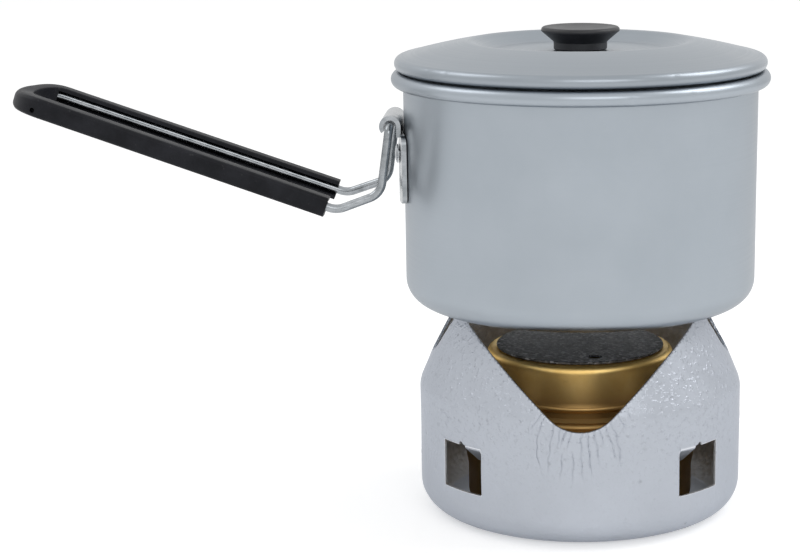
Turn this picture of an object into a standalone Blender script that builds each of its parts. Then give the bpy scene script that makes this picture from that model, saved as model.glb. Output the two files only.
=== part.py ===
"""Storm cooker: a pressed aluminium stand, a brass spirit burner with its simmer ring,
and a lidded pot with a folding wire handle.

Sizes are in millimetres and MM turns them into metres. The origin is the centre of the
stand's floor, on its underside. +Z is up, the stand's front notch faces -Y and the pot's
handle points to -X.
"""

from math import acos, asin, atan, cos, pi, radians, sin, tan

import bmesh
import bpy
from mathutils import Matrix, Vector

MM = 0.001
GAP = 0.3  # clearance between pieces that rest on each other
REACH = 5.0  # how far a cutter goes past what it cuts
WELD = 1e-6  # merge distance in metres
SHARP_DEG = 32

# Facets round a full turn
LARGE_STEPS = 44
RING_STEPS = 32
SMALL_STEPS = 24
TINY_STEPS = 12

# Stand, one deep-drawn cup with notches, four fingers and four vents
STAND_R = 52.3
STAND_SHEET = 0.8
STAND_CORNER = 9.5
STAND_BEND_Z = 41.5
STAND_TOP_Z = 68.3
FINGER_TIP_R = 40.57924  # where the leaning fingers' tips carry the pot's flat floor
STAND_BEND_R = 9.0
NOTCH_APEX_Z = 37.8
NOTCH_APEX_R = 13.7
NOTCH_FLANK_DEG = 42.5
NOTCH_TAB_HALF = 35.3
SIDE_APEX_Z = 51.0
SIDE_APEX_R = 11.2
SIDE_FLANK_DEG = 62.4
SIDE_TAB_HALF = 14.2
VENT_AZIMUTH_DEG = 45.8
VENT_WIDTH = 17.2
VENT_BOTTOM_Z = 14.2
VENT_TOP_Z = 29.3
VENT_RELIEF_R = 1.8
VENT_RELIEF_BACK = 0.9
FLAP_SHEET = 0.7
FLAP_BEND_R = 1.0
FLAP_SIDE_GAP = 0.25
FLAP_ROOT = 1.2  # overlap of a flap's sheet with the wall above its bend
FLAP_FOLD_DROP = 0.3  # how far the fold lies below the vent's top edge
FLAP_IN = 5.4
FLAP_DOWN = 5.0

# Spirit burner
BURNER_R = 37.5
BURNER_STEP_IN = 0.75
BURNER_SHEET = 0.7
BURNER_CORNER = 3.6
BURNER_STEP_Z = 13.5
BURNER_STEP_RISE = 4.0
NECK_HEIGHT = 9.9  # from the shoulder up to the rim
BURNER_SHOULDER_R = 3.4
NECK_R = 28.0
NECK_BEAD_OUT = 1.6
NECK_BEAD_RISE = 1.3
BURNER_TOP_Z = 42.5
NECK_CURL_R = 0.9
NECK_CURL_IN = 1.1
JET_FLANGE = 7.3  # from the neck in to the inner tube
COLLAR_FOOT_Z = 3.6
COLLAR_SKIRT = 4.5
COLLAR_DISH = 1.6
COLLAR_BEND_R = 1.2
JET_COUNT = 16
JET_R = 0.65
JET_PHASE = 0.25  # share of a step by which the first jet is turned from +X
WICK_TOP_Z = 27.0

# Simmer ring with its swinging cover
RING_SHEET = 0.8
RING_LAP = 5.2  # how far the ring reaches down round the neck
RING_BEAD_R = 0.55
RING_BEAD_UP = 1.2
RING_WAIST_UP = 2.7
RING_FLARE = 2.5  # from the neck out to the lip
RING_RISE = 10.0  # from the burner's rim up to the lip
RING_LIP_BEND = 1.3
RING_FLANGE = 10.0  # from the lip in to the flame hole
LUG_COUNT = 3
LUG_WIDTH = 5.0
LUG_HEIGHT = 1.6
LUG_REACH = 2.2
LUG_PHASE = 0.25  # share of a step by which the first lug is turned from +X
COVER_IN = 3.3  # from the ring's lip in to the cover's edge
COVER_SHEET = 0.8
COVER_HOLE_R = 2.5
COVER_HOLE_IN = 7.2
COVER_HOLE_DEG = 13.2
PIVOT_IN = 3.2
PIVOT_R = 1.25
PIVOT_HEAD_OUT = 1.35
PIVOT_HEAD_H = 0.8
PIVOT_CLEAR = 0.3

# Pot
POT_R = 56.2
POT_SHEET = 0.9
POT_CORNER = 7.8
POT_HEIGHT = 74.0
POT_CURL_R = 1.9
POT_CURL_END_DEG = -70

# Lid, whose knob stands in a pressed recess inside the crest
LID_OVER = 2.7  # how far the lid's rolled edge reaches past the pot's wall
LID_SHEET = 0.8
LID_CURL_R = 1.8
LID_SKIRT = 3.0
LID_SKIRT_GAP = 0.4
LID_SKIRT_BEND = 0.9
CREST_R = 35.0
CREST_RISE = 4.7
CREST_SLOPE = 0.165
RECESS_DEPTH = 3.4
RECESS_WALL = 6.5
RECESS_BEND_R = 5.0
CREST_BEND_R = 4.0
DOME_STATION = 8.0  # how far inside the rolled edge the dome's one extra point lies
KNOB_TOP_R = 12.4
KNOB_NECK_R = 8.45
KNOB_H = 7.1
KNOB_CONE_H = 3.5
KNOB_RIM_H = 1.2
KNOB_DISH = 0.5
KNOB_EDGE_R = 1.0
KNOB_LAND = 0.6  # width of the slope between the dish and the rim
KNOB_LAND_DROP = 0.1
KNOB_BOWL = (0.55, 0.8)  # a point of the dish, as shares of the radius and the depth
SCREW_R = 2.0
SCREW_HEAD_OUT = 1.9
SCREW_HEAD_H = 1.6
SCREW_LENGTH = 5.6
SCREW_TIP_CHAMFER = 0.4
SCREW_HEAD_CHAMFER = (0.9, 0.6)  # inward and downward
WASHER_OUT = 3.0
WASHER_SHEET = 0.8

# Handle: bracket with its rolled knuckle, sprung wire and moulded grip
KNUCKLE_PLAY = 0.6  # between the wire and the knuckle's bore
KNUCKLE_DROP = 16.7  # from the pot's rim down to the hinge
KNUCKLE_HALF = 11.0
KNUCKLE_END_DEG = 217
PLATE_HALF = 15.0
PLATE_DROP = 24.1  # from the hinge down to the plate's foot
PLATE_SHEET = 1.4
PLATE_LAP = 1.0
PLATE_FOOT_CORNER = 2.0
PLATE_HEAD_CORNER = 3.5
RIVET_R = 1.6
RIVET_HEAD_OUT = 1.4
RIVET_HEAD_H = 1.0
RIVET_FOOT_CLEAR = 0.2  # more room where the flat foot meets the hollow wall
RIVET_AT_Y = 7.5
RIVET_DROP = 8.9
HEAD_CROWN = (0.6, 0.85)  # a rivet head's crown corner, as shares of its radius and height
HEAD_EDGE = 0.3  # height of a rivet head's edge, as a share of its height
FOOT_TAPER = 0.9  # radius of an upset foot's end, as a share of its full radius
WIRE_R = 1.4
WIRE_HALF = 14.2
WIRE_INSIDE = 7.5
WIRE_BEND_RADII = (2.2, 6.0, 7.0)
ELBOW_SPLAY = 0.4  # how much further apart the legs are at their elbows
DIP_PINCH = 0.2  # how much nearer they are at the dip than in the grip
GRIP_START_HALF = 16.3
GRIP_NOSE_HALF = 14.9
ELBOW_OUT = 2.95
ELBOW_DROP = 20.7
DIP_OUT = 16.8
DIP_DROP = 25.6
GRIP_RISE_DEG = 19.3
GRIP_START = 3.4
GRIP_LENGTH = 106.2
GRIP_HEIGHT = 6.3
GRIP_WIDTH = 5.6
GRIP_EDGE = 1.3
GRIP_INNER_EDGE = 0.4
GRIP_NOSE_DEPTH = 10.0
GRIP_NOSE_SAG = 0.8
GRIP_NOSE_DROP = 0.9
GROOVE_CLEAR = 0.45
NOSE_STEPS = 12
NOSE_HOLE_R = 0.8
NOSE_HOLE_ALONG = 100.3
NOSE_HOLE_DROP = 1.1

# Sizes that follow from those above
STAND_AXIS_R = STAND_R - STAND_SHEET / 2
STAND_LEAN = (STAND_AXIS_R - FINGER_TIP_R) / (STAND_TOP_Z - STAND_BEND_Z)
BURNER_Z = STAND_SHEET + GAP
BURNER_LOW_R = BURNER_R - BURNER_STEP_IN
BURNER_SHOULDER_Z = BURNER_TOP_Z - NECK_HEIGHT
NECK_BEAD_R = NECK_R + NECK_BEAD_OUT
COLLAR_TUBE_R = NECK_R - JET_FLANGE
RING_LIP_R = NECK_R + RING_FLARE
RING_HOLE_R = RING_LIP_R - RING_FLANGE
RING_FOOT_Z = BURNER_TOP_Z - RING_LAP
RING_BEAD_Z = RING_FOOT_Z + RING_BEAD_UP
RING_WAIST_Z = RING_FOOT_Z + RING_WAIST_UP
RING_TOP_Z = BURNER_TOP_Z + RING_RISE
COVER_R = RING_LIP_R - COVER_IN
COVER_HOLE_AT = COVER_R - COVER_HOLE_IN
PIVOT_AT = COVER_R - PIVOT_IN
PIVOT_HEAD_R = PIVOT_R + PIVOT_HEAD_OUT
POT_Z = STAND_TOP_Z + GAP
POT_TOP_Z = POT_Z + POT_HEIGHT
LID_R = POT_R + LID_OVER
LID_UNDER_Z = POT_TOP_Z + GAP
LID_MID_Z = LID_UNDER_Z + LID_SHEET / 2 + LID_CURL_R
LID_EDGE_TOP_Z = LID_MID_Z + LID_CURL_R + LID_SHEET / 2
CREST_Z = LID_EDGE_TOP_Z + CREST_RISE
KNOB_Z = CREST_Z - RECESS_DEPTH + GAP
SCREW_HEAD_R = SCREW_R + SCREW_HEAD_OUT
WASHER_R = SCREW_R + WASHER_OUT
KNUCKLE_BORE_R = WIRE_R + KNUCKLE_PLAY
KNUCKLE_R = KNUCKLE_BORE_R + PLATE_SHEET
KNUCKLE_X = -(POT_R + GAP + KNUCKLE_R)
KNUCKLE_Z = POT_TOP_Z - KNUCKLE_DROP
PLATE_BOTTOM_Z = KNUCKLE_Z - PLATE_DROP
RIVET_HEAD_R = RIVET_R + RIVET_HEAD_OUT
RIVET_AT_Z = KNUCKLE_Z - RIVET_DROP
COVER_Z = RING_TOP_Z + GAP

COLOURS = {
    "aluminium": ((0.62, 0.65, 0.68), 0.34, 1.0),
    "stand": ((0.72, 0.74, 0.77), 0.32, 1.0),
    "brass": ((0.66, 0.46, 0.17), 0.26, 1.0),
    "coated": ((0.05, 0.05, 0.055), 0.75, 0.0),
    "wire": ((0.55, 0.58, 0.60), 0.30, 1.0),
    "plastic": ((0.018, 0.018, 0.022), 0.48, 0.0),
    "wick": ((0.75, 0.72, 0.64), 0.95, 0.0),
    "steel": ((0.48, 0.49, 0.51), 0.34, 1.0),
}


def clear_scene():
    for obj in list(bpy.data.objects):
        bpy.data.objects.remove(obj, do_unlink=True)


def collection(name, hidden=False):
    made = bpy.data.collections.new(name)
    made.hide_render = hidden
    bpy.context.scene.collection.children.link(made)
    return made


clear_scene()
PARTS = collection("storm_cooker")
CUTTERS = collection("cutters", hidden=True)


def material(node, kind):
    colour, roughness, metallic = COLOURS[kind]
    made = bpy.data.materials.new(node)
    made.use_nodes = True
    shader = made.node_tree.nodes["Principled BSDF"]
    shader.inputs["Base Color"].default_value = (*colour, 1)
    shader.inputs["Roughness"].default_value = roughness
    shader.inputs["Metallic"].default_value = metallic
    made.diffuse_color = (*colour, 1)
    return made


def as_part(obj, kind):
    """Puts a finished object among the parts, with its material and smooth shading."""
    for owner in list(obj.users_collection):
        owner.objects.unlink(obj)
    PARTS.objects.link(obj)
    obj.data.materials.clear()
    obj.data.materials.append(material(obj.name, kind))
    obj.data.shade_smooth()
    obj.data.set_sharp_from_angle(angle=radians(SHARP_DEG))
    return obj


def as_cutter(obj):
    obj.hide_render = True
    obj.display_type = "WIRE"
    return obj


def new_object(name, data, matrix=None):
    obj = bpy.data.objects.new(name, data)
    CUTTERS.objects.link(obj)
    if matrix is not None:
        obj.matrix_world = matrix
    return obj


def applied(obj):
    """Turns the object's modifiers, or its curve, into one plain welded mesh."""
    bpy.context.view_layer.update()
    graph = bpy.context.evaluated_depsgraph_get()
    mesh = bpy.data.meshes.new_from_object(obj.evaluated_get(graph))
    work = bmesh.new()
    work.from_mesh(mesh)
    bmesh.ops.remove_doubles(work, verts=work.verts, dist=WELD)
    bmesh.ops.recalc_face_normals(work, faces=work.faces)
    work.to_mesh(mesh)
    work.free()
    made = new_object(obj.name + "_mesh", mesh, obj.matrix_world.copy())
    name = obj.name
    bpy.data.objects.remove(obj, do_unlink=True)
    made.name = name
    return made


def combined(obj, other, operation):
    """Cuts, joins or intersects with an EXACT Boolean and applies it."""
    as_cutter(other)
    change = obj.modifiers.new(operation.lower(), "BOOLEAN")
    change.operation = operation
    change.object = other
    change.solver = "EXACT"
    return applied(obj)


def arc(centre, radius, start_deg, end_deg, steps):
    """Points of an arc in the plane of a profile, ends included."""
    turn = [radians(start_deg + (end_deg - start_deg) * i / steps) for i in range(steps + 1)]
    return [(centre[0] + radius * cos(a), centre[1] + radius * sin(a)) for a in turn]


def bend(before, corner, after, radius, steps):
    """Arc of the given radius that rounds a profile's corner, for its two neighbours."""
    at = Vector(corner)
    back = (Vector(before) - at).normalized()
    ahead = (Vector(after) - at).normalized()
    half = acos(max(-1.0, min(1.0, back.dot(ahead)))) / 2
    centre = at + (back + ahead).normalized() * radius / sin(half)
    first = at + back * radius / tan(half) - centre
    last = at + ahead * radius / tan(half) - centre
    points = []
    for i in range(steps + 1):
        share = i / steps
        swing = pi - 2 * half
        blend = (first * sin((1 - share) * swing) + last * sin(share * swing)) / sin(swing)
        points.append(tuple(centre + blend))
    return points


def turned(name, profile, steps, sheet=0.0, closed=False):
    """A turned shape from (radius, height) points: a solid outline, or a sheet's middle line."""
    mesh = bpy.data.meshes.new(name)
    work = bmesh.new()
    verts = [work.verts.new((r * MM, 0, z * MM)) for r, z in profile]
    for first, last in zip(verts, verts[1:]):
        work.edges.new((first, last))
    if closed:
        work.edges.new((verts[-1], verts[0]))
    work.to_mesh(mesh)
    work.free()
    obj = new_object(name, mesh)
    screw = obj.modifiers.new("turn", "SCREW")
    screw.steps = steps
    screw.render_steps = steps
    screw.use_merge_vertices = True
    screw.merge_threshold = WELD
    if sheet:
        wall = obj.modifiers.new("sheet", "SOLIDIFY")
        wall.thickness = sheet * MM
        wall.offset = 0
        wall.use_even_offset = True
    return applied(obj)


def prism(name, outline, half_depth, matrix):
    """A flat outline extruded both ways along its own Z, placed by a matrix."""
    curve = bpy.data.curves.new(name, "CURVE")
    curve.dimensions = "2D"
    curve.fill_mode = "BOTH"
    curve.extrude = half_depth * MM
    spline = curve.splines.new("POLY")
    spline.points.add(len(outline) - 1)
    for point, (x, y) in zip(spline.points, outline):
        point.co = (x * MM, y * MM, 0, 1)
    spline.use_cyclic_u = True
    return applied(new_object(name, curve, matrix))


def block(name, low, high, matrix=None):
    """A box between two corners, made as a primitive cube in bmesh."""
    size = [(b - a) * MM for a, b in zip(low, high)]
    middle = [(a + b) / 2 * MM for a, b in zip(low, high)]
    place = Matrix.Translation(middle) @ Matrix.Diagonal((*size, 1))
    mesh = bpy.data.meshes.new(name)
    work = bmesh.new()
    bmesh.ops.create_cube(work, size=1, matrix=place if matrix is None else matrix @ place)
    work.to_mesh(mesh)
    work.free()
    return new_object(name, mesh)


def pins(name, places, radius, low_z, high_z, sides):
    """Upright cylinders at the (x, y) places, all in one cutter."""
    mesh = bpy.data.meshes.new(name)
    work = bmesh.new()
    for x, y in places:
        place = Matrix.Translation((x * MM, y * MM, (low_z + high_z) / 2 * MM))
        bmesh.ops.create_cone(
            work,
            cap_ends=True,
            segments=sides,
            radius1=radius * MM,
            radius2=radius * MM,
            depth=(high_z - low_z) * MM,
            matrix=place,
        )
    work.to_mesh(mesh)
    work.free()
    return new_object(name, mesh)


def rod(name, points, radius, resolution=2):
    """A round wire along points in millimetres, with filled ends."""
    curve = bpy.data.curves.new(name, "CURVE")
    curve.dimensions = "3D"
    curve.bevel_depth = radius * MM
    curve.bevel_resolution = resolution
    curve.use_fill_caps = True
    spline = curve.splines.new("POLY")
    spline.points.add(len(points) - 1)
    for point, co in zip(spline.points, points):
        point.co = (co[0] * MM, co[1] * MM, co[2] * MM, 1)
    return applied(new_object(name, curve))


# Stand


def notch_outline(apex_z, apex_r, flank_deg, tab_half, top_z):
    """A rounded V whose flanks turn upright where they reach the fingers' straight tips."""
    side = 90 - flank_deg
    centre_z = apex_z + apex_r
    curve = arc((0, centre_z), apex_r, 180 + side, 360 - side, 10)
    start_x, start_z = curve[-1]
    tab_z = start_z + (tab_half - start_x) * tan(radians(flank_deg))
    right = [(tab_half, tab_z), (tab_half, top_z)]
    left = [(-x, z) for x, z in reversed(right)]
    return curve + right + left


def facing(azimuth_deg):
    """Frame whose X is tangential, Y is up and Z points outward, azimuth 0 at the front."""
    stand_up = Matrix.Rotation(pi / 2, 4, "X")
    return Matrix.Rotation(radians(azimuth_deg), 4, "Z") @ stand_up


def vent_azimuths():
    """Each vent's azimuth, and the side on which its flap lies, towards the near notch."""
    for azimuth, side in ((1, -1), (-1, 1)):
        yield azimuth * VENT_AZIMUTH_DEG, side
        yield 180 - azimuth * VENT_AZIMUTH_DEG, -side


def vent_outline(side):
    """The pierced window, with a relief nick above it where its flap begins."""
    half = VENT_WIDTH / 2
    outline = [(-half, VENT_BOTTOM_Z), (-half, VENT_TOP_Z), (-VENT_RELIEF_BACK, VENT_TOP_Z)]
    outline += arc((0, VENT_TOP_Z), VENT_RELIEF_R, 90, 0, 4)
    outline += [(half, VENT_TOP_Z), (half, VENT_BOTTOM_Z)]
    return outline if side > 0 else [(-x, z) for x, z in reversed(outline)]


def stand_flaps():
    """Four sheet flaps folded inward and down from the vents' top edges."""
    fold_z = VENT_TOP_Z - FLAP_FOLD_DROP
    corner = (STAND_AXIS_R, fold_z)
    root = (STAND_AXIS_R, VENT_TOP_Z + FLAP_ROOT)
    tip = (STAND_AXIS_R - FLAP_IN, fold_z - FLAP_DOWN)
    profile = [root] + bend(root, corner, tip, FLAP_BEND_R, 3) + [tip]
    ring = turned("flap_ring", profile, LARGE_STEPS, FLAP_SHEET)
    slices = None
    for azimuth, side in vent_azimuths():
        near = side * (VENT_RELIEF_R + FLAP_SIDE_GAP)
        far = side * (VENT_WIDTH / 2 - FLAP_SIDE_GAP)
        low = (min(near, far), -STAND_R - REACH, VENT_BOTTOM_Z)
        high = (max(near, far), -STAND_R + FLAP_IN + REACH, STAND_BEND_Z)
        turn = Matrix.Rotation(radians(azimuth), 4, "Z")
        piece = block("flap_slice", low, high, turn)
        slices = piece if slices is None else combined(slices, piece, "UNION")
    return combined(ring, slices, "INTERSECT")


def stand_shell():
    axis_r = STAND_AXIS_R
    rise = STAND_SHEET / 2 * sin(atan(STAND_LEAN))
    top_z = STAND_TOP_Z - rise
    floor = (0.0, STAND_SHEET / 2)
    heel = (axis_r, STAND_SHEET / 2)
    knee = (axis_r, STAND_BEND_Z)
    top = (axis_r - (top_z - STAND_BEND_Z) * STAND_LEAN, top_z)
    profile = [top]
    profile += bend(top, knee, heel, STAND_BEND_R, 2)
    profile += bend(knee, heel, floor, STAND_CORNER - STAND_SHEET / 2, 3)
    profile += [floor]
    shell = turned("stand_shell", profile, LARGE_STEPS, STAND_SHEET)
    clear = STAND_TOP_Z + REACH
    front = notch_outline(NOTCH_APEX_Z, NOTCH_APEX_R, NOTCH_FLANK_DEG, NOTCH_TAB_HALF, clear)
    sides = notch_outline(SIDE_APEX_Z, SIDE_APEX_R, SIDE_FLANK_DEG, SIDE_TAB_HALF, clear)
    deep = STAND_R + REACH
    shell = combined(shell, prism("notch_cutter", front, deep, facing(0)), "DIFFERENCE")
    shell = combined(shell, prism("side_notch_cutter", sides, deep, facing(90)), "DIFFERENCE")
    for azimuth, side in vent_azimuths():
        place = facing(azimuth) @ Matrix.Translation((0, 0, STAND_R * MM))
        cutter = prism("vent_cutter", vent_outline(side), REACH, place)
        shell = combined(shell, cutter, "DIFFERENCE")
    shell = combined(shell, stand_flaps(), "UNION")
    return as_part(shell, "stand")


# Burner


def burner_cup():
    half = BURNER_SHEET / 2
    low_r = BURNER_LOW_R - half
    full_r = BURNER_R - half
    neck_r = NECK_R - half
    base = (0.0, BURNER_Z + half)
    heel = (low_r, BURNER_Z + half)
    shoulder = (full_r, BURNER_SHOULDER_Z)
    bead = (NECK_BEAD_R + NECK_BEAD_RISE, BURNER_SHOULDER_Z)
    curl_z = BURNER_TOP_Z - half - NECK_CURL_R
    profile = [(neck_r - NECK_CURL_R - NECK_CURL_IN, BURNER_TOP_Z - half)]
    profile += arc((neck_r - NECK_CURL_R, curl_z), NECK_CURL_R, 90, 0, 1)
    profile += [(neck_r, BURNER_SHOULDER_Z + 2 * NECK_BEAD_RISE)]
    profile += arc((NECK_BEAD_R, BURNER_SHOULDER_Z), NECK_BEAD_RISE, 110, 0, 1)
    shoulder_r = min(BURNER_SHOULDER_R, full_r - bead[0])
    profile += bend(bead, shoulder, (full_r, BURNER_STEP_Z), shoulder_r, 2)
    profile += [(full_r, BURNER_STEP_Z + BURNER_STEP_RISE), (low_r, BURNER_STEP_Z)]
    profile += bend((low_r, BURNER_STEP_Z), heel, base, BURNER_CORNER, 2)
    profile += [base]
    cup = turned("burner_cup", profile, RING_STEPS, BURNER_SHEET)
    return as_part(cup, "brass")


def burner_collar():
    """Inner wall of the burner: tube, dished jet flange and the skirt inside the neck."""
    half = BURNER_SHEET / 2
    tube_r = COLLAR_TUBE_R - half
    skirt_r = NECK_R - BURNER_SHEET - GAP - half
    flange_z = BURNER_TOP_Z - BURNER_SHEET - GAP - half
    foot = (tube_r, COLLAR_FOOT_Z)
    inner = (tube_r, flange_z - COLLAR_DISH)
    outer = (skirt_r, flange_z)
    skirt = (skirt_r, flange_z - COLLAR_SKIRT)
    profile = [skirt] + bend(skirt, outer, inner, COLLAR_BEND_R, 1)
    profile += bend(outer, inner, foot, COLLAR_BEND_R, 1) + [foot]
    collar = turned("burner_collar", profile, RING_STEPS, BURNER_SHEET)
    jet_at = (tube_r + skirt_r) / 2
    turns = [2 * pi * (i + JET_PHASE) / JET_COUNT for i in range(JET_COUNT)]
    places = [(jet_at * cos(a), jet_at * sin(a)) for a in turns]
    low, high = flange_z - COLLAR_DISH - BURNER_SHEET, flange_z + BURNER_SHEET
    jets = pins("jet_cutter", places, JET_R, low, high, 6)
    return as_part(combined(collar, jets, "DIFFERENCE"), "brass")


def burner_wick():
    inner = COLLAR_TUBE_R + GAP
    outer = BURNER_LOW_R - BURNER_SHEET - 2 * GAP
    low = BURNER_Z + BURNER_SHEET + GAP
    step = BURNER_CORNER
    outline = [(outer, WICK_TOP_Z), (outer, low + step), (outer - step, low)]
    outline += [(inner, low), (inner, WICK_TOP_Z)]
    return as_part(turned("burner_wick", outline, RING_STEPS, closed=True), "wick")


# Simmer ring


def ring_wall_r(z):
    """Middle line of the flared wall, between the waist and the lip."""
    waist = NECK_R + GAP + RING_SHEET / 2
    lip = RING_LIP_R - RING_SHEET / 2
    share = (z - RING_WAIST_Z) / (RING_TOP_Z - RING_SHEET / 2 - RING_WAIST_Z)
    return waist + (lip - waist) * share**2


def simmer_ring():
    half = RING_SHEET / 2
    waist = ring_wall_r(RING_WAIST_Z)
    top_z = RING_TOP_Z - half
    lip = (RING_LIP_R - half, top_z)
    flare_to = top_z - RING_LIP_BEND
    flare = [RING_WAIST_Z + (flare_to - RING_WAIST_Z) * i / 3 for i in range(4)]
    wall = [(ring_wall_r(z), z) for z in reversed(flare)]
    profile = [(RING_HOLE_R, top_z)]
    profile += bend(profile[0], lip, wall[0], RING_LIP_BEND, 2)
    profile += wall[1:]
    profile += arc((waist, RING_BEAD_Z), RING_BEAD_R, 70, -70, 2)
    profile += [(waist, RING_FOOT_Z)]
    ring = turned("simmer_ring", profile, RING_STEPS, RING_SHEET)
    seat_z = BURNER_TOP_Z + GAP
    for i in range(LUG_COUNT):
        low = (waist - LUG_REACH, -LUG_WIDTH / 2, seat_z)
        high = (waist, LUG_WIDTH / 2, seat_z + LUG_HEIGHT)
        turn = Matrix.Rotation(2 * pi * (i + LUG_PHASE) / LUG_COUNT, 4, "Z")
        ring = combined(ring, block("lug", low, high, turn), "UNION")
    bore_r = PIVOT_R + PIVOT_CLEAR
    low, high = RING_TOP_Z - 2 * RING_SHEET, RING_TOP_Z + RING_SHEET
    bore = pins("ring_pivot_cutter", [(0, PIVOT_AT)], bore_r, low, high, TINY_STEPS)
    return as_part(combined(ring, bore, "DIFFERENCE"), "brass")


def simmer_cover():
    low, high = COVER_Z, COVER_Z + COVER_SHEET
    edge = COVER_SHEET / 4
    outline = [(0, high), (COVER_R - edge, high), (COVER_R, high - edge)]
    outline += [(COVER_R, low + edge), (COVER_R - edge, low), (0, low)]
    cover = turned("simmer_cover", outline, RING_STEPS)
    swing = radians(COVER_HOLE_DEG)
    hook = (COVER_HOLE_AT * sin(swing), -COVER_HOLE_AT * cos(swing))
    pivot = (0, PIVOT_AT)
    pivot_r = PIVOT_R + PIVOT_CLEAR
    for place, radius in ((hook, COVER_HOLE_R), (pivot, pivot_r)):
        hole = pins("hole_cutter", [place], radius, low - 1, high + 1, 2 * TINY_STEPS)
        cover = combined(cover, hole, "DIFFERENCE")
    return as_part(on_axis(cover, (0, PIVOT_AT, COVER_Z)), "coated")


def rivet_outline(shank_r, head_r, head_h, foot_r, foot_h, seat_low, seat_high):
    """A rivet between two seats on its own axis: domed head above, upset foot below."""
    outline = [(0, seat_high + head_h)]
    crown_r, crown_h = HEAD_CROWN
    outline += [(head_r * crown_r, seat_high + head_h * crown_h)]
    outline += [(head_r, seat_high + head_h * HEAD_EDGE)]
    outline += [(head_r, seat_high), (shank_r, seat_high), (shank_r, seat_low)]
    outline += [(foot_r, seat_low), (foot_r * FOOT_TAPER, seat_low - foot_h), (0, seat_low - foot_h)]
    return outline


def cover_rivet():
    seat_low = RING_TOP_Z - RING_SHEET - GAP
    seat_high = COVER_Z + COVER_SHEET + GAP
    foot_r = PIVOT_R + 2 * PIVOT_CLEAR
    outline = rivet_outline(
        PIVOT_R, PIVOT_HEAD_R, PIVOT_HEAD_H, foot_r, PIVOT_HEAD_H, seat_low, seat_high
    )
    rivet = turned("cover_rivet", outline, TINY_STEPS)
    rivet.data.transform(Matrix.Translation((0, PIVOT_AT * MM, 0)))
    return as_part(rivet, "steel")


def on_axis(obj, point):
    """Moves an object's origin to a point of its joint's axis, and leaves its shape there."""
    at = Vector(point) * MM
    obj.data.transform(Matrix.Translation(-at))
    obj.matrix_world = Matrix.Translation(at)
    return obj


# Pot


def pot_body():
    half = POT_SHEET / 2
    wall_r = POT_R - half
    base = (0.0, POT_Z + half)
    heel = (wall_r, POT_Z + half)
    curl = (wall_r + POT_CURL_R, POT_TOP_Z - half - POT_CURL_R)
    profile = arc(curl, POT_CURL_R, POT_CURL_END_DEG, 180, 4)
    profile += bend(profile[-1], heel, base, POT_CORNER - half, 4)
    profile += [base]
    body = turned("pot_body", profile, LARGE_STEPS, POT_SHEET)
    for side in (1, -1):
        body = combined(body, rivet_hole(side), "DIFFERENCE")
    return as_part(body, "aluminium")


# Bracket


def rivet_frame(side):
    """Frame of a bracket rivet: Z points straight out of the pot wall."""
    swing = asin(RIVET_AT_Y / POT_R) * side
    outward = Vector((-cos(swing), sin(swing), 0))
    turn = outward.to_track_quat("Z", "Y").to_matrix().to_4x4()
    at = outward * POT_R + Vector((0, 0, RIVET_AT_Z))
    return Matrix.Translation(at * MM) @ turn


def rivet_hole(side):
    radius = RIVET_R + GAP
    cutter = pins("rivet_hole_cutter", [(0, 0)], radius, -REACH, REACH, TINY_STEPS)
    cutter.matrix_world = rivet_frame(side)
    return cutter


def bracket_outline():
    """Side view of the plate and its rolled knuckle, as (x, z), one closed outline."""
    inner = KNUCKLE_X + KNUCKLE_R
    centre = (KNUCKLE_X, KNUCKLE_Z)
    outer = arc(centre, KNUCKLE_R, 0, KNUCKLE_END_DEG, 11)
    bore = arc(centre, KNUCKLE_BORE_R, KNUCKLE_END_DEG, 0, 9)
    sheet = KNUCKLE_R - KNUCKLE_BORE_R
    foot = [(inner - sheet, PLATE_BOTTOM_Z), (inner, PLATE_BOTTOM_Z)]
    return outer + bore + foot


def handle_bracket():
    """Curved plate below a straight knuckle, both made of one sheet."""
    side_view = Matrix.Rotation(pi / 2, 4, "X")
    roll = prism("knuckle", bracket_outline(), KNUCKLE_HALF, side_view)
    joint_z = KNUCKLE_Z - KNUCKLE_R
    low = (KNUCKLE_X - REACH, -PLATE_HALF, PLATE_BOTTOM_Z - REACH)
    high = (KNUCKLE_X + REACH, PLATE_HALF, joint_z)
    roll = combined(roll, block("knuckle_trim", low, high), "DIFFERENCE")
    inner_r = POT_R + GAP
    outer_r = inner_r + PLATE_SHEET
    plate_top = joint_z + PLATE_LAP
    section = [(outer_r, plate_top), (outer_r, PLATE_BOTTOM_Z)]
    section += [(inner_r, PLATE_BOTTOM_Z), (inner_r, plate_top)]
    plate = turned("handle_bracket", section, 2 * LARGE_STEPS, closed=True)
    foot = (PLATE_HALF, PLATE_BOTTOM_Z)
    head = (PLATE_HALF, plate_top)
    right = bend((0, PLATE_BOTTOM_Z), foot, head, PLATE_FOOT_CORNER, 4)
    right += bend(foot, head, (0, plate_top), PLATE_HEAD_CORNER, 4)
    left = [(-y, z) for y, z in reversed(right)]
    place = facing(-90) @ Matrix.Translation((0, 0, POT_R * MM))
    plate = combined(plate, prism("plate_outline", right + left, REACH, place), "INTERSECT")
    plate = combined(plate, roll, "UNION")
    for side in (1, -1):
        plate = combined(plate, rivet_hole(side), "DIFFERENCE")
    return as_part(plate, "wire")


def bracket_rivet(name, side):
    seat_high = GAP + PLATE_SHEET + GAP
    seat_low = -(POT_SHEET + GAP + RIVET_FOOT_CLEAR)
    outline = rivet_outline(
        RIVET_R, RIVET_HEAD_R, RIVET_HEAD_H, RIVET_HEAD_R, RIVET_HEAD_H, seat_low, seat_high
    )
    rivet = turned(name, outline, TINY_STEPS)
    rivet.data.transform(rivet_frame(side))
    return as_part(rivet, "aluminium")


# Wire handle and grip


def handle_plane(out, drop):
    """A point of the handle's side view, from the hinge axis, as (x, z)."""
    return KNUCKLE_X - out, KNUCKLE_Z - drop


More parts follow.
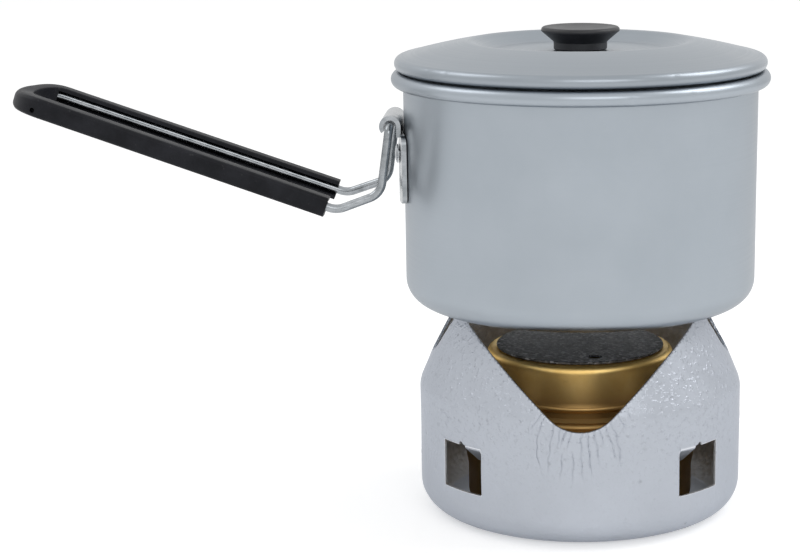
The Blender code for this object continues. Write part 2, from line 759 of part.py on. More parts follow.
def nose_share(along):
    """0 along the grip's arms, rising to 1 at the tip of its nose."""
    tip = GRIP_START + GRIP_LENGTH - GRIP_WIDTH / 2
    return max(0.0, min(1.0, 1 - (tip - along) / GRIP_NOSE_DEPTH))


def grip_point(along):
    """A point of the grip's middle line, from the dip of the wire."""
    x, z = handle_plane(DIP_OUT, DIP_DROP)
    rise = radians(GRIP_RISE_DEG)
    sag = GRIP_NOSE_SAG * nose_share(along) ** 2
    return x - along * cos(rise), z + along * sin(rise) - sag


def rounded_path(points, radii, steps):
    """Points of a bent wire in space: straight runs with an arc at each inner point."""
    path = [Vector(points[0])]
    for before, at, after, radius in zip(points, points[1:], points[2:], radii):
        corner = Vector(at)
        back = (Vector(before) - corner).normalized()
        ahead = (Vector(after) - corner).normalized()
        half = acos(max(-1.0, min(1.0, back.dot(ahead)))) / 2
        centre = corner + (back + ahead).normalized() * radius / sin(half)
        first = corner + back * radius / tan(half) - centre
        last = corner + ahead * radius / tan(half) - centre
        swing = pi - 2 * half
        for i in range(steps + 1):
            share = i / steps
            part = first * sin((1 - share) * swing) + last * sin(share * swing)
            path.append(centre + part / sin(swing))
    path.append(Vector(points[-1]))
    return path


def hairpin_plan(steps):
    """Middle line of both arms and the nose between them, as (along, across) points."""
    centre = GRIP_START + GRIP_LENGTH - GRIP_NOSE_DEPTH - GRIP_WIDTH / 2
    plan = []
    for i in range(steps + 1):
        turn = pi * i / steps
        along = centre + GRIP_NOSE_DEPTH * sin(turn)
        plan.append((along, -GRIP_NOSE_HALF * cos(turn)))
    return [(GRIP_START, -GRIP_START_HALF)] + plan + [(GRIP_START, GRIP_START_HALF)]


def wire_path():
    elbow_x, elbow_z = handle_plane(ELBOW_OUT, ELBOW_DROP)
    dip_x, dip_z = handle_plane(DIP_OUT, DIP_DROP)
    points = [
        (KNUCKLE_X, -WIRE_HALF + WIRE_INSIDE, KNUCKLE_Z),
        (KNUCKLE_X, -WIRE_HALF, KNUCKLE_Z),
        (elbow_x, -WIRE_HALF - ELBOW_SPLAY, elbow_z),
        (dip_x, -GRIP_START_HALF + DIP_PINCH, dip_z),
    ]
    bow = []
    for along, across in hairpin_plan(NOSE_STEPS):
        x, z = grip_point(along)
        bow.append(Vector((x, across, z)))
    near = rounded_path(points + bow[:1], WIRE_BEND_RADII, 4)
    far = [Vector((p.x, -p.y, p.z)) for p in reversed(near)]
    return near + bow[1:-1] + far


def handle_wire():
    wire = rod("handle_wire", wire_path(), WIRE_R)
    return as_part(on_axis(wire, (KNUCKLE_X, 0, KNUCKLE_Z)), "wire")


def channel_section(drop):
    """Section of the grip, a channel open on its inner side with its top lowered by drop."""
    deep = GRIP_WIDTH / 2
    tall = GRIP_HEIGHT / 2
    top = tall - drop
    slot = WIRE_R + GROOVE_CLEAR
    edge = GRIP_EDGE
    outline = arc((-deep + edge + drop, top - edge - drop), edge + drop, 90, 180, 3)
    outline += arc((-deep + edge, -tall + edge), edge, 180, 270, 3)
    outline += [(deep - GRIP_INNER_EDGE, -tall), (deep, -tall + GRIP_INNER_EDGE)]
    outline += [(deep, -slot)] + arc((0, 0), slot, -90, -270, 6) + [(deep, slot)]
    outline += [(deep, top - GRIP_INNER_EDGE), (deep - GRIP_INNER_EDGE, top)]
    return outline


def handle_grip():
    """Channel swept round the hairpin, closed at its sleeve ends, with a small moulding hole."""
    plan = [Vector(point) for point in hairpin_plan(NOSE_STEPS)]
    rise = radians(GRIP_RISE_DEG)
    up = Vector((sin(rise), 0, cos(rise)))
    work = bmesh.new()
    rings = []
    for i, at in enumerate(plan):
        back = (at - plan[max(i - 1, 0)]).normalized()
        ahead = (plan[min(i + 1, len(plan) - 1)] - at).normalized()
        heading = (back + ahead).normalized()
        inward = Vector((-heading.y, heading.x))
        stretch = 1 / max(back.dot(heading), ahead.dot(heading))
        ring = []
        for across, height in channel_section(GRIP_NOSE_DROP * nose_share(at.x) ** 2):
            spot = at + inward * across * stretch
            x, z = grip_point(spot.x)
            ring.append(work.verts.new((Vector((x, spot.y, z)) + up * height) * MM))
        rings.append(ring)
    for first, last in zip(rings, rings[1:]):
        pairs = zip(first, first[1:] + first[:1], last[1:] + last[:1], last)
        for corners in pairs:
            work.faces.new(corners)
    work.faces.new(rings[0])
    work.faces.new(list(reversed(rings[-1])))
    bmesh.ops.recalc_face_normals(work, faces=work.faces)
    mesh = bpy.data.meshes.new("handle_grip")
    work.to_mesh(mesh)
    work.free()
    grip = new_object("handle_grip", mesh)
    x, z = grip_point(NOSE_HOLE_ALONG)
    place = Matrix.Translation((x * MM, -GRIP_NOSE_HALF * MM, (z - NOSE_HOLE_DROP) * MM))
    hole = pins("nose_hole_cutter", [(0, 0)], NOSE_HOLE_R, 0, REACH, TINY_STEPS)
    hole.matrix_world = place @ Matrix.Rotation(pi / 2, 4, "X")
    grip = combined(grip, hole, "DIFFERENCE")
    return as_part(on_axis(grip, (KNUCKLE_X, 0, KNUCKLE_Z)), "plastic")


# Lid and knob


def dome_z(r):
    """Height of the lid's upper face between the crest and the rolled edge."""
    edge_r = LID_R - LID_SHEET / 2 - LID_CURL_R
    span = edge_r - CREST_R
    sag = (CREST_RISE - CREST_SLOPE * span) / span**2
    out = r - CREST_R
    return CREST_Z - CREST_SLOPE * out - sag * out**2


def lid_shell():
    half = LID_SHEET / 2
    edge_r = LID_R - half - LID_CURL_R
    skirt_r = POT_R - POT_SHEET - LID_SKIRT_GAP - half
    under_z = LID_MID_Z - LID_CURL_R
    floor_z = CREST_Z - RECESS_DEPTH - half
    skirt_foot = (skirt_r, under_z - LID_SKIRT)
    crest = (CREST_R, CREST_Z - half)
    recess = (CREST_R - RECESS_WALL, floor_z)
    station_r = edge_r - DOME_STATION
    dome = (station_r, dome_z(station_r) - half)
    profile = [(SCREW_R + GAP, floor_z)]
    profile += bend(profile[0], recess, crest, RECESS_BEND_R, 1)
    profile += bend(recess, crest, dome, CREST_BEND_R, 2)
    profile += [dome]
    profile += arc((edge_r, LID_MID_Z), LID_CURL_R, 90, -90, 4)
    profile += bend((edge_r, under_z), (skirt_r, under_z), skirt_foot, LID_SKIRT_BEND, 1)
    profile += [skirt_foot]
    return as_part(turned("lid_shell", profile, LARGE_STEPS, LID_SHEET), "aluminium")


def lid_knob():
    """Flared knob with a rounded rim, a shallow dished top and a blind screw hole."""
    top = KNOB_Z + KNOB_H
    rim_z = top - KNOB_RIM_H
    cone_z = rim_z - KNOB_CONE_H
    hole_r = SCREW_R + GAP
    hole_z = KNOB_Z - GAP - LID_SHEET + SCREW_LENGTH
    rim_r = KNOB_TOP_R - KNOB_EDGE_R
    bowl_r, bowl_depth = KNOB_BOWL
    outline = [(0, top - KNOB_DISH), (KNOB_TOP_R * bowl_r, top - KNOB_DISH * bowl_depth)]
    outline += [(rim_r - KNOB_LAND, top - KNOB_LAND_DROP), (rim_r, top)]
    outline += arc((rim_r, top - KNOB_EDGE_R), KNOB_EDGE_R, 75, -20, 4)
    outline += [(KNOB_NECK_R, cone_z), (KNOB_NECK_R, KNOB_Z)]
    outline += [(hole_r, KNOB_Z), (hole_r, hole_z), (0, hole_z)]
    return as_part(turned("lid_knob", outline, SMALL_STEPS), "plastic")


def knob_washer():
    high = KNOB_Z - LID_SHEET - 2 * GAP
    low = high - WASHER_SHEET
    hole = SCREW_R + GAP
    outline = [(WASHER_R, high), (WASHER_R, low), (hole, low), (hole, high)]
    return as_part(turned("knob_washer", outline, TINY_STEPS, closed=True), "steel")


def knob_screw():
    seat = KNOB_Z - LID_SHEET - 3 * GAP - WASHER_SHEET
    tip = KNOB_Z - LID_SHEET + SCREW_LENGTH - 2 * GAP
    head = seat - SCREW_HEAD_H
    outline = [(0, tip), (SCREW_R - SCREW_TIP_CHAMFER, tip)]
    outline += [(SCREW_R, tip - SCREW_TIP_CHAMFER), (SCREW_R, seat)]
    inward, downward = SCREW_HEAD_CHAMFER
    outline += [(SCREW_HEAD_R, seat), (SCREW_HEAD_R, head + downward)]
    outline += [(SCREW_HEAD_R - inward, head), (0, head)]
    return as_part(turned("knob_screw", outline, TINY_STEPS), "steel")


def build():
    stand_shell()
    burner_cup()
    burner_collar()
    burner_wick()
    simmer_ring()
    simmer_cover()
    cover_rivet()
    pot_body()
    handle_bracket()
    bracket_rivet("bracket_rivet_near", -1)
    bracket_rivet("bracket_rivet_far", 1)
    handle_wire()
    handle_grip()
    lid_shell()
    lid_knob()
    knob_washer()
    knob_screw()


build()
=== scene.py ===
"""Looks of the storm cooker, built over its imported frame.

Sizes are in millimetres and MM turns them into metres. They repeat the CAD's sizes,
because this script reads nothing but the frame. Each piece is finer than the CAD node
that it stands for, and lies where that node lies. Azimuth 0 is the front, towards -Y.
"""

import random
from math import acos, asin, atan2, cos, exp, hypot, pi, radians, sin, sqrt, tan

import bmesh
import bpy
from mathutils import Matrix, Vector, noise

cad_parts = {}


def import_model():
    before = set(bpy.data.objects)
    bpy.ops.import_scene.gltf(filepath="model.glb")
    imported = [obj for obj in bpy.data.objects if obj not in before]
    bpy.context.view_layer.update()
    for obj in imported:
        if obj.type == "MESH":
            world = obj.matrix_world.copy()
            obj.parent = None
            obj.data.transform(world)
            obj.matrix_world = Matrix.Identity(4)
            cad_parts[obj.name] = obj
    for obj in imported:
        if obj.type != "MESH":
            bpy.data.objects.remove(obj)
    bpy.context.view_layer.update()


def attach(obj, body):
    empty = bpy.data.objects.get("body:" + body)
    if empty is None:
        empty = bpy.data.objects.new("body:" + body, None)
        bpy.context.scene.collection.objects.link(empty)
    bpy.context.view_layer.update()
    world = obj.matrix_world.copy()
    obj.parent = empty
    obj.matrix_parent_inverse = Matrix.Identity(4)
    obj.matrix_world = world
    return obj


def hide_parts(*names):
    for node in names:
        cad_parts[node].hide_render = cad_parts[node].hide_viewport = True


MM = 0.001
GAP = 0.3
REACH = 5.0
WELD = 1e-7
POLE = 1e-6
LEAST_STRAIGHT = 0.6  # keeps a sheet's corner from running far out where a line turns
SHARP_DEG = 34

# Stand
STAND_R = 52.3
STAND_SHEET = 0.8
STAND_CORNER = 9.5
STAND_BEND_Z = 41.5
STAND_TOP_Z = 68.3
STAND_LEAN_DEG = 22.9
STAND_BEND_R = 9.0
STAND_LOW_Z = 14.0
STAND_ROW = 0.42  # height of the wall's rows, which carry the creases
STAND_TOP_ROW = 0.9
STAND_FLOOR_ROW = 6
STAND_WAVE = 0.10
STAND_WAVE_RATE = 3.1
STAND_RIPPLE = 0.05
STAND_RIPPLE_RATE = 9.0
NOTCH_APEX_Z = 37.8
NOTCH_APEX_R = 13.7
NOTCH_FLANK_DEG = 42.5
NOTCH_TAB_HALF = 35.3
TAB_CORNER = 1.2
SIDE_APEX_Z = 51.0
SIDE_APEX_R = 11.2
SIDE_FLANK_DEG = 62.4
SIDE_TAB_HALF = 14.2
VENT_AZIMUTH_DEG = 45.8
VENT_WIDTH = 17.2
VENT_BOTTOM_Z = 14.2
VENT_TOP_Z = 29.3
VENT_CORNER = 0.5
VENT_FAR_CORNER = 1.6
VENT_RELIEF_R = 1.8
VENT_RELIEF_BACK = 0.9
NICK_R = 0.85
NICK_RISE = 0.35
FLAP_SHEET = 0.7
FLAP_BEND_R = 1.0
FLAP_SIDE_GAP = 0.25
FLAP_ROOT = 1.2
FLAP_FOLD_DROP = 0.3
FLAP_IN = 5.4
FLAP_DOWN = 5.0

# Spirit burner
BURNER_R = 37.5
BURNER_LOW_R = 36.75
BURNER_SHEET = 0.7
BURNER_CORNER = 3.6
BURNER_STEP_Z = 13.5
BURNER_STEP_RISE = 4.0
BURNER_SHOULDER_Z = 32.6
BURNER_SHOULDER_R = 3.4
NECK_R = 28.0
NECK_BEAD_R = 29.6
NECK_BEAD_RISE = 1.3
BURNER_TOP_Z = 42.5
NECK_CURL_R = 0.9
NECK_CURL_IN = 1.1
COLLAR_TUBE_R = 20.7
COLLAR_FOOT_Z = 3.6
COLLAR_SKIRT = 4.5
COLLAR_DISH = 1.6
COLLAR_BEND_R = 1.2
JET_COUNT = 16
JET_R = 0.65
JET_PHASE = 0.25
WICK_TOP_Z = 27.0
WICK_TUFTS = ((0.7, 0.9), (0.3, 2.7))  # depth and rate of each unevenness

# Simmer ring and its cover
RING_SHEET = 0.8
RING_FOOT_Z = 37.3
RING_BEAD_R = 0.55
RING_BEAD_Z = 38.5
RING_WAIST_Z = 40.0
RING_LIP_R = 30.5
RING_TOP_Z = 52.5
RING_LIP_BEND = 1.3
RING_HOLE_R = 20.5
FOOT_SHADE_Z = 40.5  # the brass is painted darker up to here as painted shade, and clears above
FOOT_SHADE_END_Z = 49.5
LUG_COUNT = 3
LUG_WIDTH = 5.0
LUG_HEIGHT = 1.6
LUG_REACH = 2.2
LUG_PHASE = 0.25
COVER_R = 27.2
COVER_SHEET = 0.8
COVER_HOLE_R = 2.5
COVER_HOLE_AT = 20.0
COVER_HOLE_DEG = 13.2
PIVOT_AT = 24.0
PIVOT_R = 1.25
PIVOT_HEAD_R = 2.6
PIVOT_HEAD_H = 0.8
PIVOT_CLEAR = 0.3
RIVET_DOME_RIM = 0.2  # height of a domed head's rim, as a share of the head's
RIVET_FOOT_TAPER = 0.9

# Pot and lid
POT_R = 56.2
POT_SHEET = 0.9
POT_CORNER = 7.8
POT_TOP_Z = 142.6
POT_CURL_R = 1.9
POT_CURL_END_DEG = -70
POT_WAVE = 0.06
POT_WAVE_RATE = 1.7
POT_SMOOTH = 6  # the wave stays this far from the rim and off the floor
NICKED_SPAN_DEG = 65
NICKED_STEP = 0.45
SMOOTH_STEP = 1.4
LID_R = 58.9
LID_SHEET = 0.8
LID_CURL_R = 1.8
LID_WAVE = 0.07
LID_WAVE_RATE = 2.3
LID_SMOOTH = 6  # the wave grows over this width outside the crest
LID_SKIRT = 3.0
LID_SKIRT_GAP = 0.4
LID_SKIRT_BEND = 0.9
CREST_R = 35.0
CREST_RISE = 4.7
CREST_SLOPE = 0.165
RECESS_DEPTH = 3.4
RECESS_WALL = 6.5
RECESS_BEND_R = 5.0
CREST_BEND_R = 4.0
KNOB_TOP_R = 12.4
KNOB_NECK_R = 8.45
KNOB_H = 7.1
KNOB_CONE_H = 3.5
KNOB_RIM_H = 1.2
KNOB_DISH = 0.5
KNOB_EDGE = 1.0
KNOB_FOOT_EDGE = 0.3
SCREW_R = 2.0
SCREW_HEAD_R = 3.9
SCREW_HEAD_H = 1.6
SCREW_LENGTH = 5.6
SCREW_HEAD_EDGE = 0.9
SCREW_CHAMFER = 0.4
CROSS_HALF = (1.7, 0.32)
CROSS_DEPTH = 0.8
WASHER_R = 5.0
WASHER_SHEET = 0.8
WASHER_EDGE = 0.15

# Handle
KNUCKLE_R = 3.4
KNUCKLE_BORE_R = 2.0
KNUCKLE_Z = 125.9
KNUCKLE_HALF = 11.0
KNUCKLE_END_DEG = 217
PLATE_HALF = 15.0
PLATE_BOTTOM_Z = 101.8
PLATE_SHEET = 1.4
PLATE_LAP = 1.0
PLATE_FOOT_CORNER = 2.0
PLATE_HEAD_CORNER = 3.5
RIVET_R = 1.6
RIVET_HEAD_R = 3.0
RIVET_HEAD_H = 1.0
RIVET_FOOT_CLEAR = 0.2
RIVET_AT_Y = 7.5
RIVET_AT_Z = 117.0
WIRE_R = 1.4
WIRE_HALF = 14.2
WIRE_INSIDE = 7.5
WIRE_BEND_RADII = (2.2, 6.0, 7.0)
GRIP_START_HALF = 16.3
GRIP_NOSE_HALF = 14.9
ELBOW_OUT = 2.95
ELBOW_SPLAY = 0.4
ELBOW_DROP = 20.7
DIP_OUT = 16.8
DIP_DROP = 25.6
GRIP_RISE_DEG = 19.3
GRIP_START = 3.4
GRIP_LENGTH = 106.2
GRIP_HEIGHT = 6.3
GRIP_WIDTH = 5.6
GRIP_EDGE = 1.3
GRIP_INNER_EDGE = 0.4
GRIP_NOSE_DEPTH = 10.0
GRIP_NOSE_SAG = 0.8
GRIP_NOSE_DROP = 0.9
GROOVE_END = 0.30  # share of the nose at which the wire's groove closes
GROOVE_CLEAR = 0.45
NOSE_HOLE_R = 0.8
NOSE_HOLE_ALONG = 100.3
NOSE_HOLE_DROP = 1.1

STAND_AXIS_R = STAND_R - STAND_SHEET / 2
BURNER_Z = STAND_SHEET + GAP
POT_Z = STAND_TOP_Z + GAP
LID_UNDER_Z = POT_TOP_Z + GAP
LID_MID_Z = LID_UNDER_Z + LID_SHEET / 2 + LID_CURL_R
CREST_Z = LID_MID_Z + LID_CURL_R + LID_SHEET / 2 + CREST_RISE
KNOB_Z = CREST_Z - RECESS_DEPTH + GAP
KNUCKLE_X = -(POT_R + GAP + KNUCKLE_R)
COVER_Z = RING_TOP_Z + GAP

# Pressing creases under the front V: where each starts and ends across, how far its
# middle bows to +X, how deep under the edge it starts, and its length
CREASES = (
    (-11.8, -15.4, -0.4, 0.5, 6.5),
    (-11.0, -11.6, -2.4, 0.8, 19.0),
    (-8.2, -10.4, -0.4, 0.6, 16.5),
    (-6.4, -7.7, 0.2, 0.7, 6.5),
    (-4.6, -6.5, 0.1, 0.6, 5.0),
    (-3.0, -4.3, 0.0, 0.6, 5.2),
    (-5.8, -6.6, 0.2, 8.5, 7.5),
    (-2.3, -2.9, 0.2, 7.5, 10.0),
    (0.3, 0.8, -0.3, 0.6, 16.0),
    (2.0, 3.3, 0.2, 0.5, 15.0),
    (4.1, 5.6, 0.4, 0.7, 11.5),
    (5.9, 7.2, 0.1, 0.5, 6.0),
    (7.6, 11.6, 0.5, 0.6, 13.0),
    (9.4, 12.5, 1.0, 0.8, 15.5),
    (11.4, 14.1, 0.3, 0.6, 5.5),
    (13.0, 16.2, 0.3, 0.5, 5.0),
)
CREASE_DEPTH = 0.27
CREASE_HALF = 0.30
CREASE_WAVE = 0.16
CREASE_RIDGE = 0.55  # height of the ridge beside a crease, as a share of its depth
CREASE_RIDGE_AT = 1.7
CREASE_RIDGE_WIDTH = 1.5
CREASE_WAVE_RATE = 1.15
CREASE_WAVE_SHIFT = 5
CREASE_OVERRUN = 0.15
CREASE_FADE_IN = 0.12
CREASE_FADE_OUT = 0.45
CREASE_BAND = 20
CREASE_LOW_Z = 14
CREASE_HIGH_Z = 46
FAR_OFF = 99.0  # stands for no edge within reach
FINE_SPAN = 18.5  # half width of the band under each V that has close columns
FINE_STEP = 0.2
EDGE_STEP = 0.26
EDGE_SPAN = 0.9
PLAIN_STEP = 0.5
DENT_SEED = 7
DENT_COUNT = 1500
DENT_LOW_Z = 10
DENT_HIGH_Z = 67
DENT_CELL = 3.0
DENT_DEPTHS = (0.04, 0.12)
EDGE_ROLL = 0.24  # how far a punched edge is drawn in
EDGE_ROLL_WIDTH = 0.32
EDGE_ROLL_REACH = 1.5
VENT_MARGIN = 3  # this far above the vents, their edges are out of reach
KNOCKS_LOW_Z = 16  # knocks and flecks are faint up to here and full from the next
KNOCKS_HIGH_Z = 36
INWARD_FULL = -12  # a face that looks this far inward has the inner wall's look, painted paler as painted light
INWARD_NONE = -4
EDGE_MARK = 0.17  # reach of the painted highlight round a vent and of the painted shade line along the V

# Camera and light
CAMERA_AT = (-2.87, -674.48, 219.87)
CAMERA_YAW_DEG = 1.866
CAMERA_PITCH_DEG = 14.251
CAMERA_ROLL_DEG = -0.423
CAMERA_LENS = 95.57
CAMERA_SHIFT = (-0.13, 0.1)
CAMERA_SENSOR = 36
CAMERA_CLIP = (0.01, 20)
WORLD_GREY = 0.72
FLOOR_HALF = 4000.0
FLOOR_DROP = 0.05
FLOOR_GREY = 0.80
FLOOR_GLOW = 0.41
LIGHT_TARGET = (0.0, 0.0, 0.09)
# Lamps: name, place in metres, size in metres and watts
SOFTBOXES = (
    ("left_box", (-0.80, 0.10, 0.95), (0.55, 0.55), 1.7),
    ("right_box", (0.85, 0.15, 0.90), (0.60, 0.60), 3.9),
    ("front_box", (0.25, -1.30, 0.85), (0.90, 0.60), 2.6),
)


# Shapes


def arc(centre, radius, start_deg, end_deg, steps):
    """Points of an arc in the plane of a profile, ends included."""
    turn = [radians(start_deg + (end_deg - start_deg) * i / steps) for i in range(steps + 1)]
    return [(centre[0] + radius * cos(a), centre[1] + radius * sin(a)) for a in turn]


def bend(before, corner, after, radius, steps):
    """Arc of the given radius that rounds a corner, in a profile or in space."""
    at = Vector(corner)
    back = (Vector(before) - at).normalized()
    ahead = (Vector(after) - at).normalized()
    half = acos(max(-1.0, min(1.0, back.dot(ahead)))) / 2
    centre = at + (back + ahead).normalized() * radius / sin(half)
    first = at + back * radius / tan(half) - centre
    last = at + ahead * radius / tan(half) - centre
    swing = pi - 2 * half
    points = []
    for i in range(steps + 1):
        share = i / steps
        blend = (first * sin((1 - share) * swing) + last * sin(share * swing)) / sin(swing)
        points.append(tuple(centre + blend))
    return points


def mirrored(points):
    """The same points on the other side of the middle, in the opposite order."""
    return [(-across, along) for across, along in reversed(points)]


def spaced(points, longest):
    """The same line with extra points, so that no step is longer than the given length."""
    line = [tuple(points[0])]
    for first, last in zip(points, points[1:]):
        count = max(1, int(hypot(last[0] - first[0], last[1] - first[1]) / longest + 0.999))
        for i in range(1, count + 1):
            share = i / count
            line.append(tuple(a + (b - a) * share for a, b in zip(first, last)))
    return line


def sideways(points):
    """Each point of a line, the unit direction to its left and how straight the line is."""
    for i, point in enumerate(points):
        at = Vector(point)
        back = at - Vector(points[max(i - 1, 0)])
        ahead = Vector(points[min(i + 1, len(points) - 1)]) - at
        back = (back if back.length > 0 else ahead).normalized()
        ahead = (ahead if ahead.length > 0 else back).normalized()
        heading = (back + ahead).normalized()
        yield at, Vector((-heading.y, heading.x)), back.dot(heading)


def offset_line(points, distance):
    """The line moved sideways, to its left for a positive distance."""
    turns = sideways(points)
    return [at + left * distance / max(LEAST_STRAIGHT, even) for at, left, even in turns]


def cap(first, last, steps):
    """Points of the half circle that rounds a sheet's free edge, its two ends left out."""
    centre = (first + last) / 2
    arm = first - centre
    side = Vector((arm.y, -arm.x))
    turns = [pi * i / steps for i in range(1, steps)]
    return [centre + arm * cos(a) + side * sin(a) for a in turns]


def sheet_section(middle, sheet, steps=4):
    """Closed outline of a sheet round its middle line, with rounded free edges."""
    left = offset_line(middle, sheet / 2)
    right = list(reversed(offset_line(middle, -sheet / 2)))
    outline = list(left)
    if left[-1].x > POLE:
        outline += cap(left[-1], right[0], steps)
    outline += right
    if left[0].x > POLE:
        outline += cap(right[-1], left[0], steps)
    return [(max(0.0, p.x), p.y) for p in outline]


def even_turns(count):
    return [2 * pi * i / count for i in range(count)]


def uneven_turns(radius, step_at, least):
    """Azimuths of a piece's columns; step_at gives a column's width where it starts."""
    turns = []
    turn = -pi
    while turn < pi - 1e-9:
        turns.append(turn)
        turn += step_at(turn) / radius
    if 2 * pi - (turns[-1] - turns[0]) < least / radius:
        turns.pop()
    return turns


def linked(name, data):
    """A new object in the scene."""
    obj = bpy.data.objects.new(name, data)
    bpy.context.scene.collection.objects.link(obj)
    return obj


def cleaned(mesh, weld):
    """Turns a mesh's faces outward, with doubled points merged where weld says so."""
    work = bmesh.new()
    work.from_mesh(mesh)
    if weld:
        bmesh.ops.remove_doubles(work, verts=work.verts, dist=WELD)
    bmesh.ops.recalc_face_normals(work, faces=work.faces)
    work.to_mesh(mesh)
    work.free()


def mesh_object(name, verts, faces):
    """A mesh from points in millimetres, with its faces turned outward."""
    mesh = bpy.data.meshes.new(name)
    mesh.from_pydata([tuple(c * MM for c in v) for v in verts], [], faces)
    cleaned(mesh, False)
    return linked(name, mesh)


def band(first, last):
    """Faces between two closed rows of points, either of which may be a single point."""
    faces = []
    for i in range(max(len(first), len(last))):
        j = (i + 1) % max(len(first), len(last))
        if len(last) == 1:
            faces.append((first[i], first[j], last[0]))
        elif len(first) == 1:
            faces.append((first[0], last[j], last[i]))
        else:
            faces.append((first[i], first[j], last[j], last[i]))
    return faces


def revolved(name, outline, turns, relief=None):
    """A closed outline of (radius, height) points carried round the azimuths in turns."""
    verts = []
    rows = []
    for r, z in outline:
        if r < POLE:
            rows.append([len(verts)])
            verts.append((0, 0, z))
            continue
        rows.append(list(range(len(verts), len(verts) + len(turns))))
        for turn in turns:
            out, up = relief(turn, r, z) if relief else (0, 0)
            verts.append(((r + out) * sin(turn), -(r + out) * cos(turn), z + up))
    faces = []
    for first, last in zip(rows, rows[1:] + rows[:1]):
        if len(first) + len(last) > 2:
            faces += band(first, last)
    return mesh_object(name, verts, faces)


def applied(obj):
    """Turns the object's modifiers, or its curve, into one plain mesh."""
    bpy.context.view_layer.update()
    graph = bpy.context.evaluated_depsgraph_get()
    mesh = bpy.data.meshes.new_from_object(obj.evaluated_get(graph))
    cleaned(mesh, True)
    name = obj.name
    place = obj.matrix_world.copy()
    bpy.data.objects.remove(obj, do_unlink=True)
    made = linked(name, mesh)
    made.matrix_world = place
    return made


def combined(obj, other, operation):
    """Cuts, joins or intersects two closed meshes; the second one is used up."""
    change = obj.modifiers.new(operation.lower(), "BOOLEAN")
    change.operation = operation
    change.object = other
    change.solver = "MANIFOLD"
    made = applied(obj)
    bpy.data.objects.remove(other, do_unlink=True)
    return made


def prism(name, outline, half_depth, matrix):
    """A flat outline extruded both ways along its own Z, placed by a matrix."""
    count = len(outline)
    verts = [matrix @ Vector((x, y, -half_depth)) for x, y in outline]
    verts += [matrix @ Vector((x, y, half_depth)) for x, y in outline]
    faces = [tuple(range(count)), tuple(range(2 * count - 1, count - 1, -1))]
    faces += band(range(count), range(count, 2 * count))
    return mesh_object(name, verts, faces)


def box(name, low, high, matrix):
    """A cutter or lug between two corners, turned by a matrix."""
    corners = [(low[0], low[1]), (high[0], low[1]), (high[0], high[1]), (low[0], high[1])]
    middle = (low[2] + high[2]) / 2
    place = matrix @ Matrix.Translation((0, 0, middle))
    return prism(name, corners, (high[2] - low[2]) / 2, place)


def pin(name, radius, low, high, matrix, sides=32):
    """A round cutter along the Z of a matrix, from low to high."""
    place = matrix @ Matrix.Translation((0, 0, (low + high) / 2))
    outline = [(radius * cos(a), radius * sin(a)) for a in even_turns(sides)]
    return prism(name, outline, (high - low) / 2, place)


def facing(azimuth_deg):
    """Frame whose X is tangential, Y is up and Z points outward, azimuth 0 at the front."""
    return Matrix.Rotation(radians(azimuth_deg), 4, "Z") @ Matrix.Rotation(pi / 2, 4, "X")


def piece(obj, body, node, material):
    """Finishes a piece: shading, material, the body it rides on and the node it stands for."""
    obj.data.shade_smooth()
    obj.data.set_sharp_from_angle(angle=radians(SHARP_DEG))
    obj.data.materials.clear()
    obj.data.materials.append(material)
    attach(obj, body)
    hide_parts(node)


def near(turn, centre):
    """Signed angle from one azimuth to another, within half a turn."""
    return (turn - centre + pi) % (2 * pi) - pi


# Stand


def notch_outline(apex_z, apex_r, flank_deg, tab_half, top_z):
    """A rounded V whose flanks turn upright where they reach the fingers' straight tips."""
    side = 90 - flank_deg
    curve = arc((0, apex_z + apex_r), apex_r, 180 + side, 360 - side, 48)
    start_x, start_z = curve[-1]
    tab_z = start_z + (tab_half - start_x) * tan(radians(flank_deg))
    corner = (tab_half - TAB_CORNER, tab_z + TAB_CORNER / 2)
    right = arc(corner, TAB_CORNER, -40, 0, 3) + [(tab_half, top_z)]
    return curve + right + mirrored(right)


def notch_edge_z(across):
    """Height of the front V's edge at a distance across, near its rounded foot."""
    return NOTCH_APEX_Z + NOTCH_APEX_R - sqrt(max(0.0, NOTCH_APEX_R**2 - across**2))


def crease_height(across, z):
    """Height of the pressed creases that fan out under the V: a groove with a low ridge."""
    height = 0.0
    for start, end, bow, down, length in CREASES:
        top = notch_edge_z(min(abs(start), NOTCH_APEX_R - 1)) - down
        share = (top - z) / length
        if not -CREASE_OVERRUN < share < 1 + CREASE_OVERRUN:
            continue
        line = start + (end - start) * share + bow * 4 * share * (1 - share)
        line += CREASE_WAVE * sin(CREASE_WAVE_RATE * z + CREASE_WAVE_SHIFT * start)
        gap = (across - line) / CREASE_HALF
        if abs(gap) < 6:
            fade = min(1.0, max(0.0, (share + CREASE_OVERRUN) / CREASE_FADE_IN))
            fade *= min(1.0, max(0.0, (1 + CREASE_OVERRUN - share) / CREASE_FADE_OUT))
            beside = (gap - CREASE_RIDGE_AT) / CREASE_RIDGE_WIDTH
            ridge = CREASE_RIDGE * exp(-(beside**2)) - exp(-gap * gap)
            height += CREASE_DEPTH * ridge * fade
    return height


def vee_distance(across, z):
    """How far a point of the wall lies outside the front V's punched edge."""
    centre_z = NOTCH_APEX_Z + NOTCH_APEX_R
    tilt = radians(NOTCH_FLANK_DEG)
    side = abs(across)
    if side * cos(tilt) < (centre_z - z) * sin(tilt):
        return hypot(across, z - centre_z) - NOTCH_APEX_R
    return side * sin(tilt) - (z - centre_z) * cos(tilt) - NOTCH_APEX_R


def vent_distance(turn, z):
    """How far a point of the wall lies outside the nearest vent's punched edge."""
    nearest = FAR_OFF
    for azimuth, side in vent_azimuths():
        across = near(turn, radians(azimuth)) * STAND_R
        if abs(across) < VENT_WIDTH:
            beyond_x = abs(across) - VENT_WIDTH / 2
            beyond_z = max(z - VENT_TOP_Z, VENT_BOTTOM_Z - z)
            outside = hypot(max(0.0, beyond_x), max(0.0, beyond_z))
            nearest = outside if outside > 0 else max(beyond_x, beyond_z)
    return nearest


